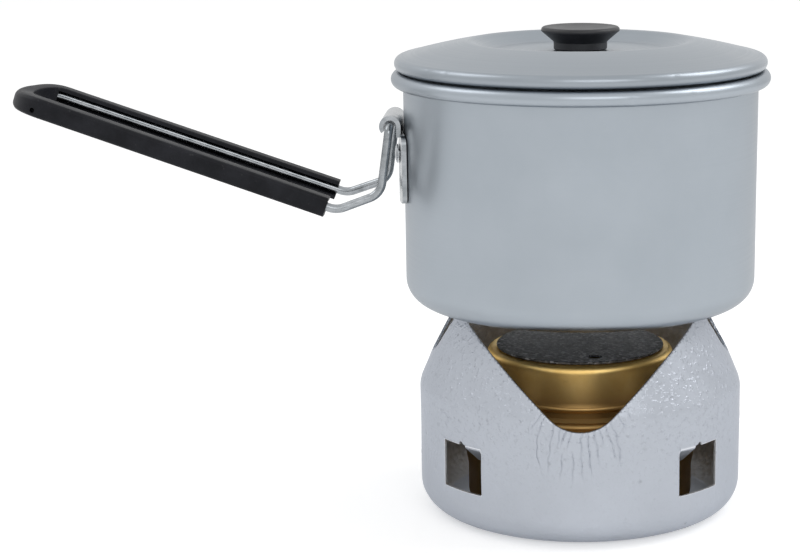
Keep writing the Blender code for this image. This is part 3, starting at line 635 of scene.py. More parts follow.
def edge_roll(turn, z):
    """The punch draws the sheet in along each edge that it cuts."""
    lean = tan(radians(STAND_LEAN_DEG))
    r = STAND_R - max(0.0, z - STAND_BEND_Z) * lean
    side = min(abs(near(turn, 0.0)), abs(near(turn, pi)))
    gap = FAR_OFF
    if side < 0.9:
        gap = abs(vee_distance(sin(side) * r, z))
    if z < VENT_TOP_Z + VENT_MARGIN:
        gap = min(gap, abs(vent_distance(turn, z)))
    return EDGE_ROLL * exp(-((gap / EDGE_ROLL_WIDTH) ** 2)) if gap < EDGE_ROLL_REACH else 0.0


def stand_relief(turn, r, z):
    """Creases under the V, drawn-in edges, shallow dents and a slight wave of the wall."""
    if r < STAND_R - STAND_CORNER or z < 3:
        return 0, 0
    out = 0.0
    for centre, mirror in ((0.0, 1), (pi, -1)):
        across = near(turn, centre) * STAND_R * mirror
        if abs(across) < CREASE_BAND and CREASE_LOW_Z < z < CREASE_HIGH_Z:
            out += crease_height(across, z)
    spot = Vector((sin(turn), cos(turn), z / STAND_R))
    ripple = STAND_RIPPLE * noise.noise(spot * STAND_RIPPLE_RATE)
    out += STAND_WAVE * noise.noise(spot * STAND_WAVE_RATE) + ripple
    out -= edge_roll(turn, z)
    cell = (int(turn % (2 * pi) * STAND_R / DENT_CELL), int(z / DENT_CELL))
    for azimuth, height, radius, depth in STAND_DENTS.get(cell, ()):
        reach = hypot(near(turn, azimuth) * STAND_R, z - height) / radius
        if reach < 2.0:
            out -= depth * exp(-reach * reach)
    return out, 0


def dents():
    """Seeded shallow dents, as azimuth, height, radius and depth, sorted into cells."""
    pick = random.Random(DENT_SEED)
    cells = {}
    around = int(2 * pi * STAND_R / DENT_CELL) + 1
    for _ in range(DENT_COUNT):
        azimuth = pick.uniform(0, 2 * pi)
        height = DENT_HIGH_Z - (DENT_HIGH_Z - DENT_LOW_Z) * pick.random() ** 1.5
        radius = 0.45 + 0.75 * pick.random() ** 2
        dent = (azimuth, height, radius, pick.choice((1, 1, -0.7)) * pick.uniform(*DENT_DEPTHS))
        column, row = int(azimuth * STAND_R / DENT_CELL), int(height / DENT_CELL)
        for i in (-1, 0, 1):
            for j in (-1, 0, 1):
                cells.setdefault(((column + i) % around, row + j), []).append(dent)
    return cells


STAND_DENTS = dents()


def stand_step(turn):
    """Width of the stand's columns: close together under each V and at the vents' rims."""
    front = abs(near(turn, 0.0)) * STAND_R
    back = abs(near(turn, pi)) * STAND_R
    vent = min(abs(near(turn, radians(a))) for a, side in vent_azimuths()) * STAND_R
    if front < FINE_SPAN:
        return FINE_STEP
    rim = abs(vent - VENT_WIDTH / 2) < EDGE_SPAN
    return EDGE_STEP if rim or back < FINE_SPAN else PLAIN_STEP


def vent_azimuths():
    """Each vent's azimuth, and the side on which its flap lies, towards the near notch."""
    for azimuth, side in ((1, -1), (-1, 1)):
        yield azimuth * VENT_AZIMUTH_DEG, side
        yield 180 - azimuth * VENT_AZIMUTH_DEG, -side


def vent_outline(side):
    """The pierced window, with a relief nick above it where its flap begins."""
    half = VENT_WIDTH / 2
    foot_z = VENT_BOTTOM_Z + VENT_CORNER
    outline = arc((-half + VENT_CORNER, foot_z), VENT_CORNER, 270, 180, 3)
    outline += [(-half, VENT_TOP_Z), (-VENT_RELIEF_BACK, VENT_TOP_Z)]
    outline += arc((0.1, VENT_TOP_Z + NICK_RISE), NICK_R, 185, 20, 10)
    outline += [(VENT_RELIEF_R + 0.3, VENT_TOP_Z)]
    far = (half - VENT_FAR_CORNER, VENT_TOP_Z - VENT_FAR_CORNER)
    outline += arc(far, VENT_FAR_CORNER, 90, 0, 6)
    outline += arc((half - VENT_CORNER, foot_z), VENT_CORNER, 0, -90, 3)
    return outline if side > 0 else mirrored(outline)


def stand_flaps():
    """Four sheet flaps folded inward and down from the vents' top edges."""
    fold_z = VENT_TOP_Z - FLAP_FOLD_DROP
    corner = (STAND_AXIS_R, fold_z)
    root = (STAND_AXIS_R, VENT_TOP_Z + FLAP_ROOT)
    tip = (STAND_AXIS_R - FLAP_IN, fold_z - FLAP_DOWN)
    middle = [root] + bend(root, corner, tip, FLAP_BEND_R, 10) + [tip]
    ring = revolved("flap_ring", sheet_section(middle, FLAP_SHEET), even_turns(360))
    slices = None
    for azimuth, side in vent_azimuths():
        near_edge = side * (VENT_RELIEF_R + FLAP_SIDE_GAP)
        far_edge = side * (VENT_WIDTH / 2 - FLAP_SIDE_GAP)
        low = (min(near_edge, far_edge), -STAND_R - REACH, VENT_BOTTOM_Z)
        high = (max(near_edge, far_edge), -STAND_R + FLAP_IN + REACH, STAND_BEND_Z)
        turn = Matrix.Rotation(radians(azimuth), 4, "Z")
        part = box("flap_slice", low, high, turn)
        slices = part if slices is None else combined(slices, part, "UNION")
    return combined(ring, slices, "INTERSECT")


def mark_edges(obj):
    """Marks the punched edges for painted light: 1 round a vent, for a painted highlight, -1
    along the V, for a painted shade line.
    """
    marks = []
    for vert in obj.data.vertices:
        x, y, z = (c / MM for c in vert.co)
        r = hypot(x, y)
        turn = atan2(x, -y)
        side = min(abs(near(turn, 0.0)), abs(near(turn, pi)))
        low_wall = z < VENT_TOP_Z + VENT_MARGIN and r > STAND_R - 2
        vent = abs(vent_distance(turn, z)) if low_wall else FAR_OFF
        vee = abs(vee_distance(sin(side) * r, z)) if side < 1.1 else FAR_OFF
        painted_edge_light_and_shade = exp(-((vent / EDGE_MARK) ** 2)) - exp(-((vee / EDGE_MARK) ** 2))
        marks.append(painted_edge_light_and_shade)
    layer = obj.data.attributes.new("punched", "FLOAT", "POINT")
    layer.data.foreach_set("value", marks)
    return obj


def stand_shell():
    lean = tan(radians(STAND_LEAN_DEG))
    rise = STAND_SHEET / 2 * sin(radians(STAND_LEAN_DEG))
    top_z = STAND_TOP_Z - rise - STAND_SHEET / 2
    floor = (0.0, STAND_SHEET / 2)
    heel = (STAND_AXIS_R, STAND_SHEET / 2)
    knee = (STAND_AXIS_R, STAND_BEND_Z)
    top = (STAND_AXIS_R - (top_z - STAND_BEND_Z) * lean, top_z)
    low = (STAND_AXIS_R, STAND_LOW_Z)
    crown = bend(top, knee, heel, STAND_BEND_R, 10)
    upper = spaced([top, crown[0]], STAND_TOP_ROW)[:-1] + crown
    wall = spaced([crown[-1], low], STAND_ROW)[1:]
    corner = bend(low, heel, floor, STAND_CORNER - STAND_SHEET / 2, 14)
    middle = upper + wall + corner + spaced([corner[-1], floor], STAND_FLOOR_ROW)[1:]
    outline = sheet_section(middle, STAND_SHEET)
    turns = uneven_turns(STAND_R, stand_step, FINE_STEP)
    shell = revolved("stand_detail", outline, turns, stand_relief)
    clear = STAND_TOP_Z + REACH
    front = notch_outline(NOTCH_APEX_Z, NOTCH_APEX_R, NOTCH_FLANK_DEG, NOTCH_TAB_HALF, clear)
    sides = notch_outline(SIDE_APEX_Z, SIDE_APEX_R, SIDE_FLANK_DEG, SIDE_TAB_HALF, clear)
    deep = STAND_R + REACH
    shell = combined(shell, prism("notch_cutter", front, deep, facing(0)), "DIFFERENCE")
    shell = combined(shell, prism("side_cutter", sides, deep, facing(90)), "DIFFERENCE")
    for azimuth, side in vent_azimuths():
        place = facing(azimuth) @ Matrix.Translation((0, 0, STAND_R))
        cutter = prism("vent_cutter", vent_outline(side), REACH, place)
        shell = combined(shell, cutter, "DIFFERENCE")
    return mark_edges(combined(shell, stand_flaps(), "UNION"))


# Burner and simmer ring


def burner_cup():
    half = BURNER_SHEET / 2
    low_r = BURNER_LOW_R - half
    full_r = BURNER_R - half
    neck_r = NECK_R - half
    base = (0.0, BURNER_Z + half)
    heel = (low_r, BURNER_Z + half)
    shoulder = (full_r, BURNER_SHOULDER_Z)
    bead = (NECK_BEAD_R + NECK_BEAD_RISE, BURNER_SHOULDER_Z)
    curl_z = BURNER_TOP_Z - half - NECK_CURL_R
    profile = [(neck_r - NECK_CURL_R - NECK_CURL_IN, BURNER_TOP_Z - half)]
    profile += arc((neck_r - NECK_CURL_R, curl_z), NECK_CURL_R, 90, 0, 6)
    profile += spaced([profile[-1], (neck_r, BURNER_SHOULDER_Z + 2 * NECK_BEAD_RISE)], 1.5)[1:]
    profile += arc((NECK_BEAD_R, BURNER_SHOULDER_Z), NECK_BEAD_RISE, 110, 0, 8)
    profile += bend(bead, shoulder, (full_r, BURNER_STEP_Z), BURNER_SHOULDER_R, 10)
    profile += [(full_r, BURNER_STEP_Z + BURNER_STEP_RISE), (low_r, BURNER_STEP_Z)]
    profile += bend((low_r, BURNER_STEP_Z), heel, base, BURNER_CORNER, 8)
    profile += [base]
    return revolved("burner_cup_detail", sheet_section(profile, BURNER_SHEET), even_turns(160))


def burner_collar():
    """Inner wall of the burner: tube, dished jet flange and the skirt inside the neck."""
    half = BURNER_SHEET / 2
    tube_r = COLLAR_TUBE_R - half
    skirt_r = NECK_R - BURNER_SHEET - GAP - half
    flange_z = BURNER_TOP_Z - BURNER_SHEET - GAP - half
    foot = (tube_r, COLLAR_FOOT_Z)
    inner = (tube_r, flange_z - COLLAR_DISH)
    outer = (skirt_r, flange_z)
    skirt = (skirt_r, flange_z - COLLAR_SKIRT)
    profile = [skirt] + bend(skirt, outer, inner, COLLAR_BEND_R, 6)
    profile += bend(outer, inner, foot, COLLAR_BEND_R, 6) + spaced([inner, foot], 4)[1:]
    collar = revolved(
        "burner_collar_detail", sheet_section(profile, BURNER_SHEET), even_turns(160)
    )
    jet_at = (tube_r + skirt_r) / 2
    low, high = flange_z - COLLAR_DISH - BURNER_SHEET, flange_z + BURNER_SHEET
    for i in range(JET_COUNT):
        turn = 2 * pi * (i + JET_PHASE) / JET_COUNT
        place = Matrix.Translation((jet_at * cos(turn), jet_at * sin(turn), 0))
        jet = pin("jet_cutter", JET_R, low, high, place, 16)
        collar = combined(collar, jet, "DIFFERENCE")
    return collar


def wick_relief(turn, r, z):
    """Loose fibres stand up unevenly on the wick's top."""
    if z < WICK_TOP_Z - 0.01:
        return 0, 0
    spot = Vector((r * sin(turn), r * cos(turn), 0))
    return 0, -sum(depth * abs(noise.noise(spot * rate)) for depth, rate in WICK_TUFTS)


def burner_wick():
    inner = COLLAR_TUBE_R + GAP
    outer = BURNER_LOW_R - BURNER_SHEET - 2 * GAP
    low = BURNER_Z + BURNER_SHEET + GAP
    step = BURNER_CORNER
    outline = spaced([(inner, WICK_TOP_Z), (outer, WICK_TOP_Z)], 0.7)
    outline += [(outer, WICK_TOP_Z - 1), (outer, low + step), (outer - step, low)]
    outline += [(inner, low), (inner, WICK_TOP_Z - 1)]
    return revolved("burner_wick_detail", outline, even_turns(200), wick_relief)


def ring_wall_r(z):
    """Middle line of the simmer ring's flared wall, between the waist and the lip."""
    waist = NECK_R + GAP + RING_SHEET / 2
    lip = RING_LIP_R - RING_SHEET / 2
    share = (z - RING_WAIST_Z) / (RING_TOP_Z - RING_SHEET / 2 - RING_WAIST_Z)
    return waist + (lip - waist) * share**2


def simmer_ring():
    half = RING_SHEET / 2
    waist = ring_wall_r(RING_WAIST_Z)
    top_z = RING_TOP_Z - half
    lip = (RING_LIP_R - half, top_z)
    flare_to = top_z - RING_LIP_BEND
    flare = [RING_WAIST_Z + (flare_to - RING_WAIST_Z) * i / 14 for i in range(15)]
    wall = [(ring_wall_r(z), z) for z in reversed(flare)]
    profile = [(RING_HOLE_R + half, top_z)]
    profile += bend(profile[0], lip, wall[0], RING_LIP_BEND, 8)
    profile += wall[1:]
    profile += arc((waist, RING_BEAD_Z), RING_BEAD_R, 70, -70, 8)
    profile += [(waist, RING_FOOT_Z + half)]
    ring = revolved("simmer_ring_detail", sheet_section(profile, RING_SHEET), even_turns(180))
    seat_z = BURNER_TOP_Z + GAP
    for i in range(LUG_COUNT):
        low = (waist - LUG_REACH, -LUG_WIDTH / 2, seat_z)
        high = (waist, LUG_WIDTH / 2, seat_z + LUG_HEIGHT)
        turn = Matrix.Rotation(2 * pi * (i + LUG_PHASE) / LUG_COUNT, 4, "Z")
        ring = combined(ring, box("lug", low, high, turn), "UNION")
    low, high = RING_TOP_Z - 2 * RING_SHEET, RING_TOP_Z + RING_SHEET
    place = Matrix.Translation((0, PIVOT_AT, 0))
    bore = pin("ring_bore_cutter", PIVOT_R + PIVOT_CLEAR, low, high, place)
    return combined(ring, bore, "DIFFERENCE")


def simmer_cover():
    low, high = COVER_Z, COVER_Z + COVER_SHEET
    edge = COVER_SHEET / 2
    outline = [(0, high), (COVER_R - edge, high)]
    outline += arc((COVER_R - edge, low + edge), edge, 80, -80, 8)
    outline += [(COVER_R - edge, low), (0, low)]
    cover = revolved("simmer_cover_detail", outline, even_turns(180))
    swing = radians(COVER_HOLE_DEG)
    hook = (COVER_HOLE_AT * sin(swing), -COVER_HOLE_AT * cos(swing))
    for place, radius in ((hook, COVER_HOLE_R), ((0, PIVOT_AT), PIVOT_R + PIVOT_CLEAR)):
        at = Matrix.Translation((*place, 0))
        cover = combined(cover, pin("hole_cutter", radius, low - 1, high + 1, at), "DIFFERENCE")
    return cover


def rivet_outline(shank_r, head_r, head_h, foot_r, foot_h, seat_low, seat_high):
    """A rivet between two seats on its own axis: domed head above, upset foot below."""
    outline = [(0, seat_high + head_h)]
    for i in range(1, 9):
        turn = pi / 2 * i / 8
        rise = RIVET_DOME_RIM + (1 - RIVET_DOME_RIM) * cos(turn)
        outline.append((head_r * sin(turn), seat_high + head_h * rise))
    outline += [(head_r, seat_high), (shank_r, seat_high), (shank_r, seat_low)]
    tip_r, tip = foot_r * RIVET_FOOT_TAPER, seat_low - foot_h
    outline += [(foot_r, seat_low), (tip_r, tip), (0, tip)]
    return outline


def cover_rivet():
    seat_low = RING_TOP_Z - RING_SHEET - GAP
    seat_high = COVER_Z + COVER_SHEET + GAP
    foot_r = PIVOT_R + 2 * PIVOT_CLEAR
    outline = rivet_outline(
        PIVOT_R, PIVOT_HEAD_R, PIVOT_HEAD_H, foot_r, PIVOT_HEAD_H, seat_low, seat_high
    )
    rivet = revolved("cover_rivet_detail", outline, even_turns(48))
    rivet.data.transform(Matrix.Translation((0, PIVOT_AT * MM, 0)))
    return rivet


# Pot and lid


def nicked_step(turn):
    """Width of the pot's and lid's columns, finer on the side that the photograph shows."""
    return NICKED_STEP if abs(turn) < radians(NICKED_SPAN_DEG) else SMOOTH_STEP


# Small knocks in the rolled edges, as azimuth, height, radius and depth
POT_NICKS = (
    (radians(14.6), 139.6, 0.9, 0.22),
    (radians(33.0), 140.3, 0.8, 0.18),
    (radians(-31.0), 139.4, 1.3, 0.12),
    (radians(118.0), 140.0, 1.1, 0.20),
    (radians(203.0), 139.8, 1.2, 0.18),
)
LID_NICKS = (
    (radians(-52.0), 145.4, 1.6, 0.20),
    (radians(-44.0), 146.2, 1.1, 0.15),
    (radians(28.0), 145.8, 1.0, 0.12),
    (radians(151.0), 145.6, 1.4, 0.20),
)


def nick_depth(nicks, turn, r, z):
    depth = 0.0
    for azimuth, height, radius, deep in nicks:
        reach = hypot(near(turn, azimuth) * r, z - height) / radius
        if reach < 2.5:
            depth += deep * exp(-reach * reach)
    return depth


def pot_relief(turn, r, z):
    if r < POT_R - POT_SMOOTH:
        return 0, 0
    spot = Vector((sin(turn), cos(turn), z / POT_R))
    wave = 0.0
    if z < POT_TOP_Z - POT_SMOOTH:
        wave = POT_WAVE * noise.noise(spot * POT_WAVE_RATE)
    return wave - nick_depth(POT_NICKS, turn, r, z), 0


def pot_body():
    half = POT_SHEET / 2
    wall_r = POT_R - half
    base = (0.0, POT_Z + half)
    heel = (wall_r, POT_Z + half)
    curl = (wall_r + POT_CURL_R, POT_TOP_Z - half - POT_CURL_R)
    profile = arc(curl, POT_CURL_R, POT_CURL_END_DEG, 180, 28)
    corner = bend(profile[-1], heel, base, POT_CORNER - half, 14)
    profile += spaced([profile[-1], corner[0]], 2.2)[1:-1] + corner
    profile += spaced([corner[-1], base], 5)[1:]
    turns = uneven_turns(POT_R, nicked_step, NICKED_STEP / 2)
    body = revolved("pot_detail", sheet_section(profile, POT_SHEET), turns, pot_relief)
    return riveted(body)


def dome_z(r):
    """Height of the lid's upper face between the crest and the rolled edge."""
    edge_r = LID_R - LID_SHEET / 2 - LID_CURL_R
    span = edge_r - CREST_R
    sag = (CREST_RISE - CREST_SLOPE * span) / span**2
    out = r - CREST_R
    return CREST_Z - CREST_SLOPE * out - sag * out**2


def lid_relief(turn, r, z):
    if r < CREST_R:
        return 0, 0
    spot = Vector((r * sin(turn), r * cos(turn), 0)) / LID_R
    wave = LID_WAVE * noise.noise(spot * LID_WAVE_RATE) * min(1.0, (r - CREST_R) / LID_SMOOTH)
    inside = r < LID_R - 2 * LID_CURL_R - LID_SHEET
    return -nick_depth(LID_NICKS, turn, r, z), wave if inside else 0


def lid_shell():
    half = LID_SHEET / 2
    edge_r = LID_R - half - LID_CURL_R
    skirt_r = POT_R - POT_SHEET - LID_SKIRT_GAP - half
    under_z = LID_MID_Z - LID_CURL_R
    floor_z = CREST_Z - RECESS_DEPTH - half
    skirt_foot = (skirt_r, under_z - LID_SKIRT + half)
    crest = (CREST_R, CREST_Z - half)
    recess = (CREST_R - RECESS_WALL, floor_z)
    first_r = CREST_R + 4
    count = 12
    radii = [first_r + (edge_r - 1.5 - first_r) * i / count for i in range(count + 1)]
    dome = [(r, dome_z(r) - half) for r in radii]
    start = (SCREW_R + GAP + half, floor_z)
    profile = [start]
    profile += bend(start, recess, crest, RECESS_BEND_R, 8)
    profile += bend(recess, crest, dome[0], CREST_BEND_R, 10)
    profile += dome[1:]
    profile += arc((edge_r, LID_MID_Z), LID_CURL_R, 84, -90, 26)
    profile += bend((edge_r, under_z), (skirt_r, under_z), skirt_foot, LID_SKIRT_BEND, 6)
    profile += [skirt_foot]
    turns = uneven_turns(LID_R, nicked_step, NICKED_STEP / 2)
    return revolved("lid_detail", sheet_section(profile, LID_SHEET), turns, lid_relief)


def lid_knob():
    """Flared knob with a rounded rim, a shallow dished top and a blind screw hole."""
    top = KNOB_Z + KNOB_H
    rim_z = top - KNOB_RIM_H
    cone_z = rim_z - KNOB_CONE_H
    hole_r = SCREW_R + GAP
    hole_z = KNOB_Z - GAP - LID_SHEET + SCREW_LENGTH
    lip_r = KNOB_TOP_R - KNOB_EDGE
    outline = [(0, top - KNOB_DISH)]
    for i in range(1, 13):
        r = (lip_r - 0.2) * i / 12
        outline.append((r, top - KNOB_DISH * (1 - (r / lip_r) ** 2)))
    outline += arc((lip_r, top - KNOB_EDGE), KNOB_EDGE, 88, -20, 12)
    outline += spaced([outline[-1], (KNOB_NECK_R + 0.25, cone_z + 0.25)], 0.6)[1:]
    outline += [(KNOB_NECK_R, cone_z - 0.1), (KNOB_NECK_R, KNOB_Z + KNOB_FOOT_EDGE)]
    outline += [(KNOB_NECK_R - KNOB_FOOT_EDGE, KNOB_Z)]
    outline += [(hole_r, KNOB_Z), (hole_r, hole_z), (0, hole_z)]
    return revolved("lid_knob_detail", outline, even_turns(128))


def knob_washer():
    high = KNOB_Z - LID_SHEET - 2 * GAP
    low = high - WASHER_SHEET
    hole = SCREW_R + GAP
    edge_r = WASHER_R - WASHER_EDGE
    outline = [(edge_r, high), (WASHER_R, high - WASHER_EDGE), (WASHER_R, low + WASHER_EDGE)]
    outline += [(edge_r, low), (hole, low), (hole, high)]
    return revolved("knob_washer_detail", outline, even_turns(64))


def knob_screw():
    """Pan-head screw with a cross recess."""
    seat = KNOB_Z - LID_SHEET - 3 * GAP - WASHER_SHEET
    tip = KNOB_Z - LID_SHEET + SCREW_LENGTH - 2 * GAP
    head = seat - SCREW_HEAD_H
    outline = [(0, tip), (SCREW_R - SCREW_CHAMFER, tip), (SCREW_R, tip - SCREW_CHAMFER)]
    outline += [(SCREW_R, seat), (SCREW_HEAD_R, seat)]
    edge = (SCREW_HEAD_R - SCREW_HEAD_EDGE, head + SCREW_HEAD_EDGE)
    outline += arc(edge, SCREW_HEAD_EDGE, 0, -90, 6)
    outline += [(0, head)]
    screw = revolved("knob_screw_detail", outline, even_turns(64))
    for half_x, half_y in (CROSS_HALF, CROSS_HALF[::-1]):
        low = (-half_x, -half_y, head - 1)
        high = (half_x, half_y, head + CROSS_DEPTH)
        screw = combined(screw, box("recess", low, high, Matrix.Identity(4)), "DIFFERENCE")
    return screw


# Bracket, wire and grip


def rivet_frame(side):
    """Frame of a bracket rivet in millimetres: Z points straight out of the pot wall."""
    swing = asin(RIVET_AT_Y / POT_R) * side
    outward = Vector((-cos(swing), sin(swing), 0))
    turn = outward.to_track_quat("Z", "Y").to_matrix().to_4x4()
    return Matrix.Translation(outward * POT_R + Vector((0, 0, RIVET_AT_Z))) @ turn


def riveted(obj):
    """Pierces the holes that the bracket's two rivets pass through."""
    for side in (1, -1):
        cutter = pin("rivet_cutter", RIVET_R + GAP, -REACH, REACH, rivet_frame(side))
        obj = combined(obj, cutter, "DIFFERENCE")
    return obj


def bracket_outline():
    """Side view of the plate and its rolled knuckle, as (x, z), one closed outline."""
    inner = KNUCKLE_X + KNUCKLE_R
    centre = (KNUCKLE_X, KNUCKLE_Z)
    outer = arc(centre, KNUCKLE_R, 0, KNUCKLE_END_DEG, 48)
    bore = arc(centre, KNUCKLE_BORE_R, KNUCKLE_END_DEG, 0, 36)
    sheet = KNUCKLE_R - KNUCKLE_BORE_R
    foot = [(inner - sheet, PLATE_BOTTOM_Z), (inner, PLATE_BOTTOM_Z)]
    return outer + bore + foot


def handle_bracket():
    """Curved plate below a straight knuckle, both made of one sheet."""
    side_view = Matrix.Rotation(pi / 2, 4, "X")
    roll = prism("knuckle", bracket_outline(), KNUCKLE_HALF, side_view)
    joint_z = KNUCKLE_Z - KNUCKLE_R
    low = (KNUCKLE_X - REACH, -PLATE_HALF, PLATE_BOTTOM_Z - REACH)
    high = (KNUCKLE_X + REACH, PLATE_HALF, joint_z)
    roll = combined(roll, box("knuckle_trim", low, high, Matrix.Identity(4)), "DIFFERENCE")
    inner_r = POT_R + GAP
    outer_r = inner_r + PLATE_SHEET
    plate_top = joint_z + PLATE_LAP
    section = [(outer_r, plate_top), (outer_r, PLATE_BOTTOM_Z)]
    section += [(inner_r, PLATE_BOTTOM_Z), (inner_r, plate_top)]
    plate = revolved("bracket_detail", section, even_turns(720))
    foot = (PLATE_HALF, PLATE_BOTTOM_Z)
    head = (PLATE_HALF, plate_top)
    right = bend((0, PLATE_BOTTOM_Z), foot, head, PLATE_FOOT_CORNER, 10)
    right += bend(foot, head, (0, plate_top), PLATE_HEAD_CORNER, 10)
    place = facing(-90) @ Matrix.Translation((0, 0, POT_R))
    outline = prism("plate_outline", right + mirrored(right), REACH, place)
    plate = combined(plate, outline, "INTERSECT")
    return riveted(combined(plate, roll, "UNION"))


def bracket_rivet(name, side):
    seat_high = GAP + PLATE_SHEET + GAP
    seat_low = -(POT_SHEET + GAP + RIVET_FOOT_CLEAR)
    outline = rivet_outline(
        RIVET_R, RIVET_HEAD_R, RIVET_HEAD_H, RIVET_HEAD_R, RIVET_HEAD_H, seat_low, seat_high
    )
    rivet = revolved(name, outline, even_turns(64))
    frame_mm = rivet_frame(side)
    frame_mm.translation *= MM
    rivet.data.transform(frame_mm)
    return rivet


def handle_plane(out, drop):
    """A point of the handle's side view, from the hinge axis, as (x, z)."""
    return KNUCKLE_X - out, KNUCKLE_Z - drop


def nose_share(along):
    """0 along the grip's arms, rising to 1 at the tip of its nose."""
    tip = GRIP_START + GRIP_LENGTH - GRIP_WIDTH / 2
    return max(0.0, min(1.0, 1 - (tip - along) / GRIP_NOSE_DEPTH))


def grip_point(along):
    """A point of the grip's middle line, from the dip of the wire."""
    x, z = handle_plane(DIP_OUT, DIP_DROP)
    rise = radians(GRIP_RISE_DEG)
    sag = GRIP_NOSE_SAG * nose_share(along) ** 2
    return x - along * cos(rise), z + along * sin(rise) - sag


def rounded_path(points, radii, steps):
    """Points of a bent wire in space: straight runs with an arc at each inner point."""
    path = [Vector(points[0])]
    for before, at, after, radius in zip(points, points[1:], points[2:], radii):
        path += [Vector(point) for point in bend(before, at, after, radius, steps)]
    path.append(Vector(points[-1]))
    return path


def hairpin_plan(nose_steps, arm_step):
    """Middle line of both arms and the nose between them, as (along, across) points."""
    centre = GRIP_START + GRIP_LENGTH - GRIP_NOSE_DEPTH - GRIP_WIDTH / 2
    nose = []
    for i in range(nose_steps + 1):
        turn = pi * i / nose_steps
        nose.append((centre + GRIP_NOSE_DEPTH * sin(turn), -GRIP_NOSE_HALF * cos(turn)))
    near_arm = spaced([(GRIP_START, -GRIP_START_HALF), nose[0]], arm_step)[:-1]
    far_arm = [(along, -across) for along, across in reversed(near_arm)]
    return near_arm + nose + far_arm


def wire_path():
    elbow_x, elbow_z = handle_plane(ELBOW_OUT, ELBOW_DROP)
    dip_x, dip_z = handle_plane(DIP_OUT, DIP_DROP)
    points = [
        (KNUCKLE_X, -WIRE_HALF + WIRE_INSIDE, KNUCKLE_Z),
        (KNUCKLE_X, -WIRE_HALF, KNUCKLE_Z),
        (elbow_x, -WIRE_HALF - ELBOW_SPLAY, elbow_z),
        (dip_x, -GRIP_START_HALF + 0.2, dip_z),
    ]
    bow = []
    for along, across in hairpin_plan(36, 8):
        x, z = grip_point(along)
        bow.append(Vector((x, across, z)))
    near_leg = rounded_path(points + bow[:1], WIRE_BEND_RADII, 12)
    far_leg = [Vector((p.x, -p.y, p.z)) for p in reversed(near_leg)]
    return near_leg + bow[1:-1] + far_leg


def handle_wire():
    curve = bpy.data.curves.new("handle_wire_detail", "CURVE")
    curve.dimensions = "3D"
    curve.bevel_depth = WIRE_R * MM
    curve.bevel_resolution = 6
    curve.use_fill_caps = True
    points = wire_path()
    spline = curve.splines.new("POLY")
    spline.points.add(len(points) - 1)
    for point, co in zip(spline.points, points):
        point.co = (co[0] * MM, co[1] * MM, co[2] * MM, 1)
    return applied(linked("handle_wire_detail", curve))


def channel_section(drop, closing):
    """Section of the grip, a channel open on its inner side, closed by a share of 0 to 1."""
    deep = GRIP_WIDTH / 2
    tall = GRIP_HEIGHT / 2
    top = tall - drop
    slot = WIRE_R + GROOVE_CLEAR
    edge = GRIP_EDGE
    outline = arc((-deep + edge + drop, top - edge - drop), edge + drop, 90, 180, 8)
    outline += arc((-deep + edge, -tall + edge), edge, 180, 270, 8)
    inner = GRIP_INNER_EDGE
    outline += arc((deep - inner, -tall + inner), inner, 270, 360, 4)
    groove = [(deep, -slot)] + arc((0, 0), slot, -90, -270, 16) + [(deep, slot)]
    outline += [(x + (deep - x) * closing, z) for x, z in groove]
    outline += arc((deep - inner, top - inner), inner, 0, 90, 4)
    return outline


def handle_grip():
    """Channel swept round the hairpin; its groove ends where the wire enters the nose."""
    up = Vector((sin(radians(GRIP_RISE_DEG)), 0, cos(radians(GRIP_RISE_DEG))))
    verts = []
    rows = []
    for at, inward, even in sideways(hairpin_plan(64, 4)):
        share = nose_share(at.x)
        closing = 1.0 if share > GROOVE_END else 0.0
        row = []
        for across, height in channel_section(GRIP_NOSE_DROP * share**2, closing):
            spot = at + inward * across / even
            x, z = grip_point(spot.x)
            row.append(len(verts))
            verts.append(Vector((x, spot.y, z)) + up * height)
        rows.append(row)
    faces = [tuple(rows[0]), tuple(reversed(rows[-1]))]
    for first, last in zip(rows, rows[1:]):
        faces += band(first, last)
    grip = mesh_object("handle_grip_detail", verts, faces)
    x, z = grip_point(NOSE_HOLE_ALONG)
    place = Matrix.Translation((x, -GRIP_NOSE_HALF, z - NOSE_HOLE_DROP))
    place = place @ Matrix.Rotation(pi / 2, 4, "X")
    return combined(grip, pin("nose_hole", NOSE_HOLE_R, 0, REACH, place, 24), "DIFFERENCE")


# Materials


class Graph:
    """Adds nodes to one node tree."""

    def __init__(self, owner):
        owner.use_nodes = True
        self.owner = owner
        self.tree = owner.node_tree

    def add(self, kind, inputs=None, **settings):
        """A node with its settings, values and links; returns its outputs."""
        made = self.tree.nodes.new("ShaderNode" + kind)
        for key, value in settings.items():
            setattr(made, key, value)
        for key, value in (inputs or {}).items():
            socket = made.inputs[key]
            if isinstance(value, bpy.types.NodeSocket):
                self.tree.links.new(value, socket)
            elif socket.type == "RGBA":
                socket.default_value = (*value, 1)
            else:
                socket.default_value = value
        return made.outputs

    def calc(self, operation, first, second=0.0):
        return self.add("Math", {0: first, 1: second}, operation=operation)[0]

    def times(self, first, second):
        return self.calc("MULTIPLY", first, second)

    def spread(self, value, low, high, to_low=0.0, to_high=1.0):
        """Carries a value's range over to another range, and holds it there."""
        inputs = {"Value": value, 1: low, 2: high, 3: to_low, 4: to_high}
        return self.add("MapRange", inputs, clamp=True)["Result"]

    def mixed(self, share, first, second):
        """A colour between two others; each is a colour of three numbers or a socket."""
        return self.add("Mix", {0: share, 6: first, 7: second}, data_type="RGBA")[2]


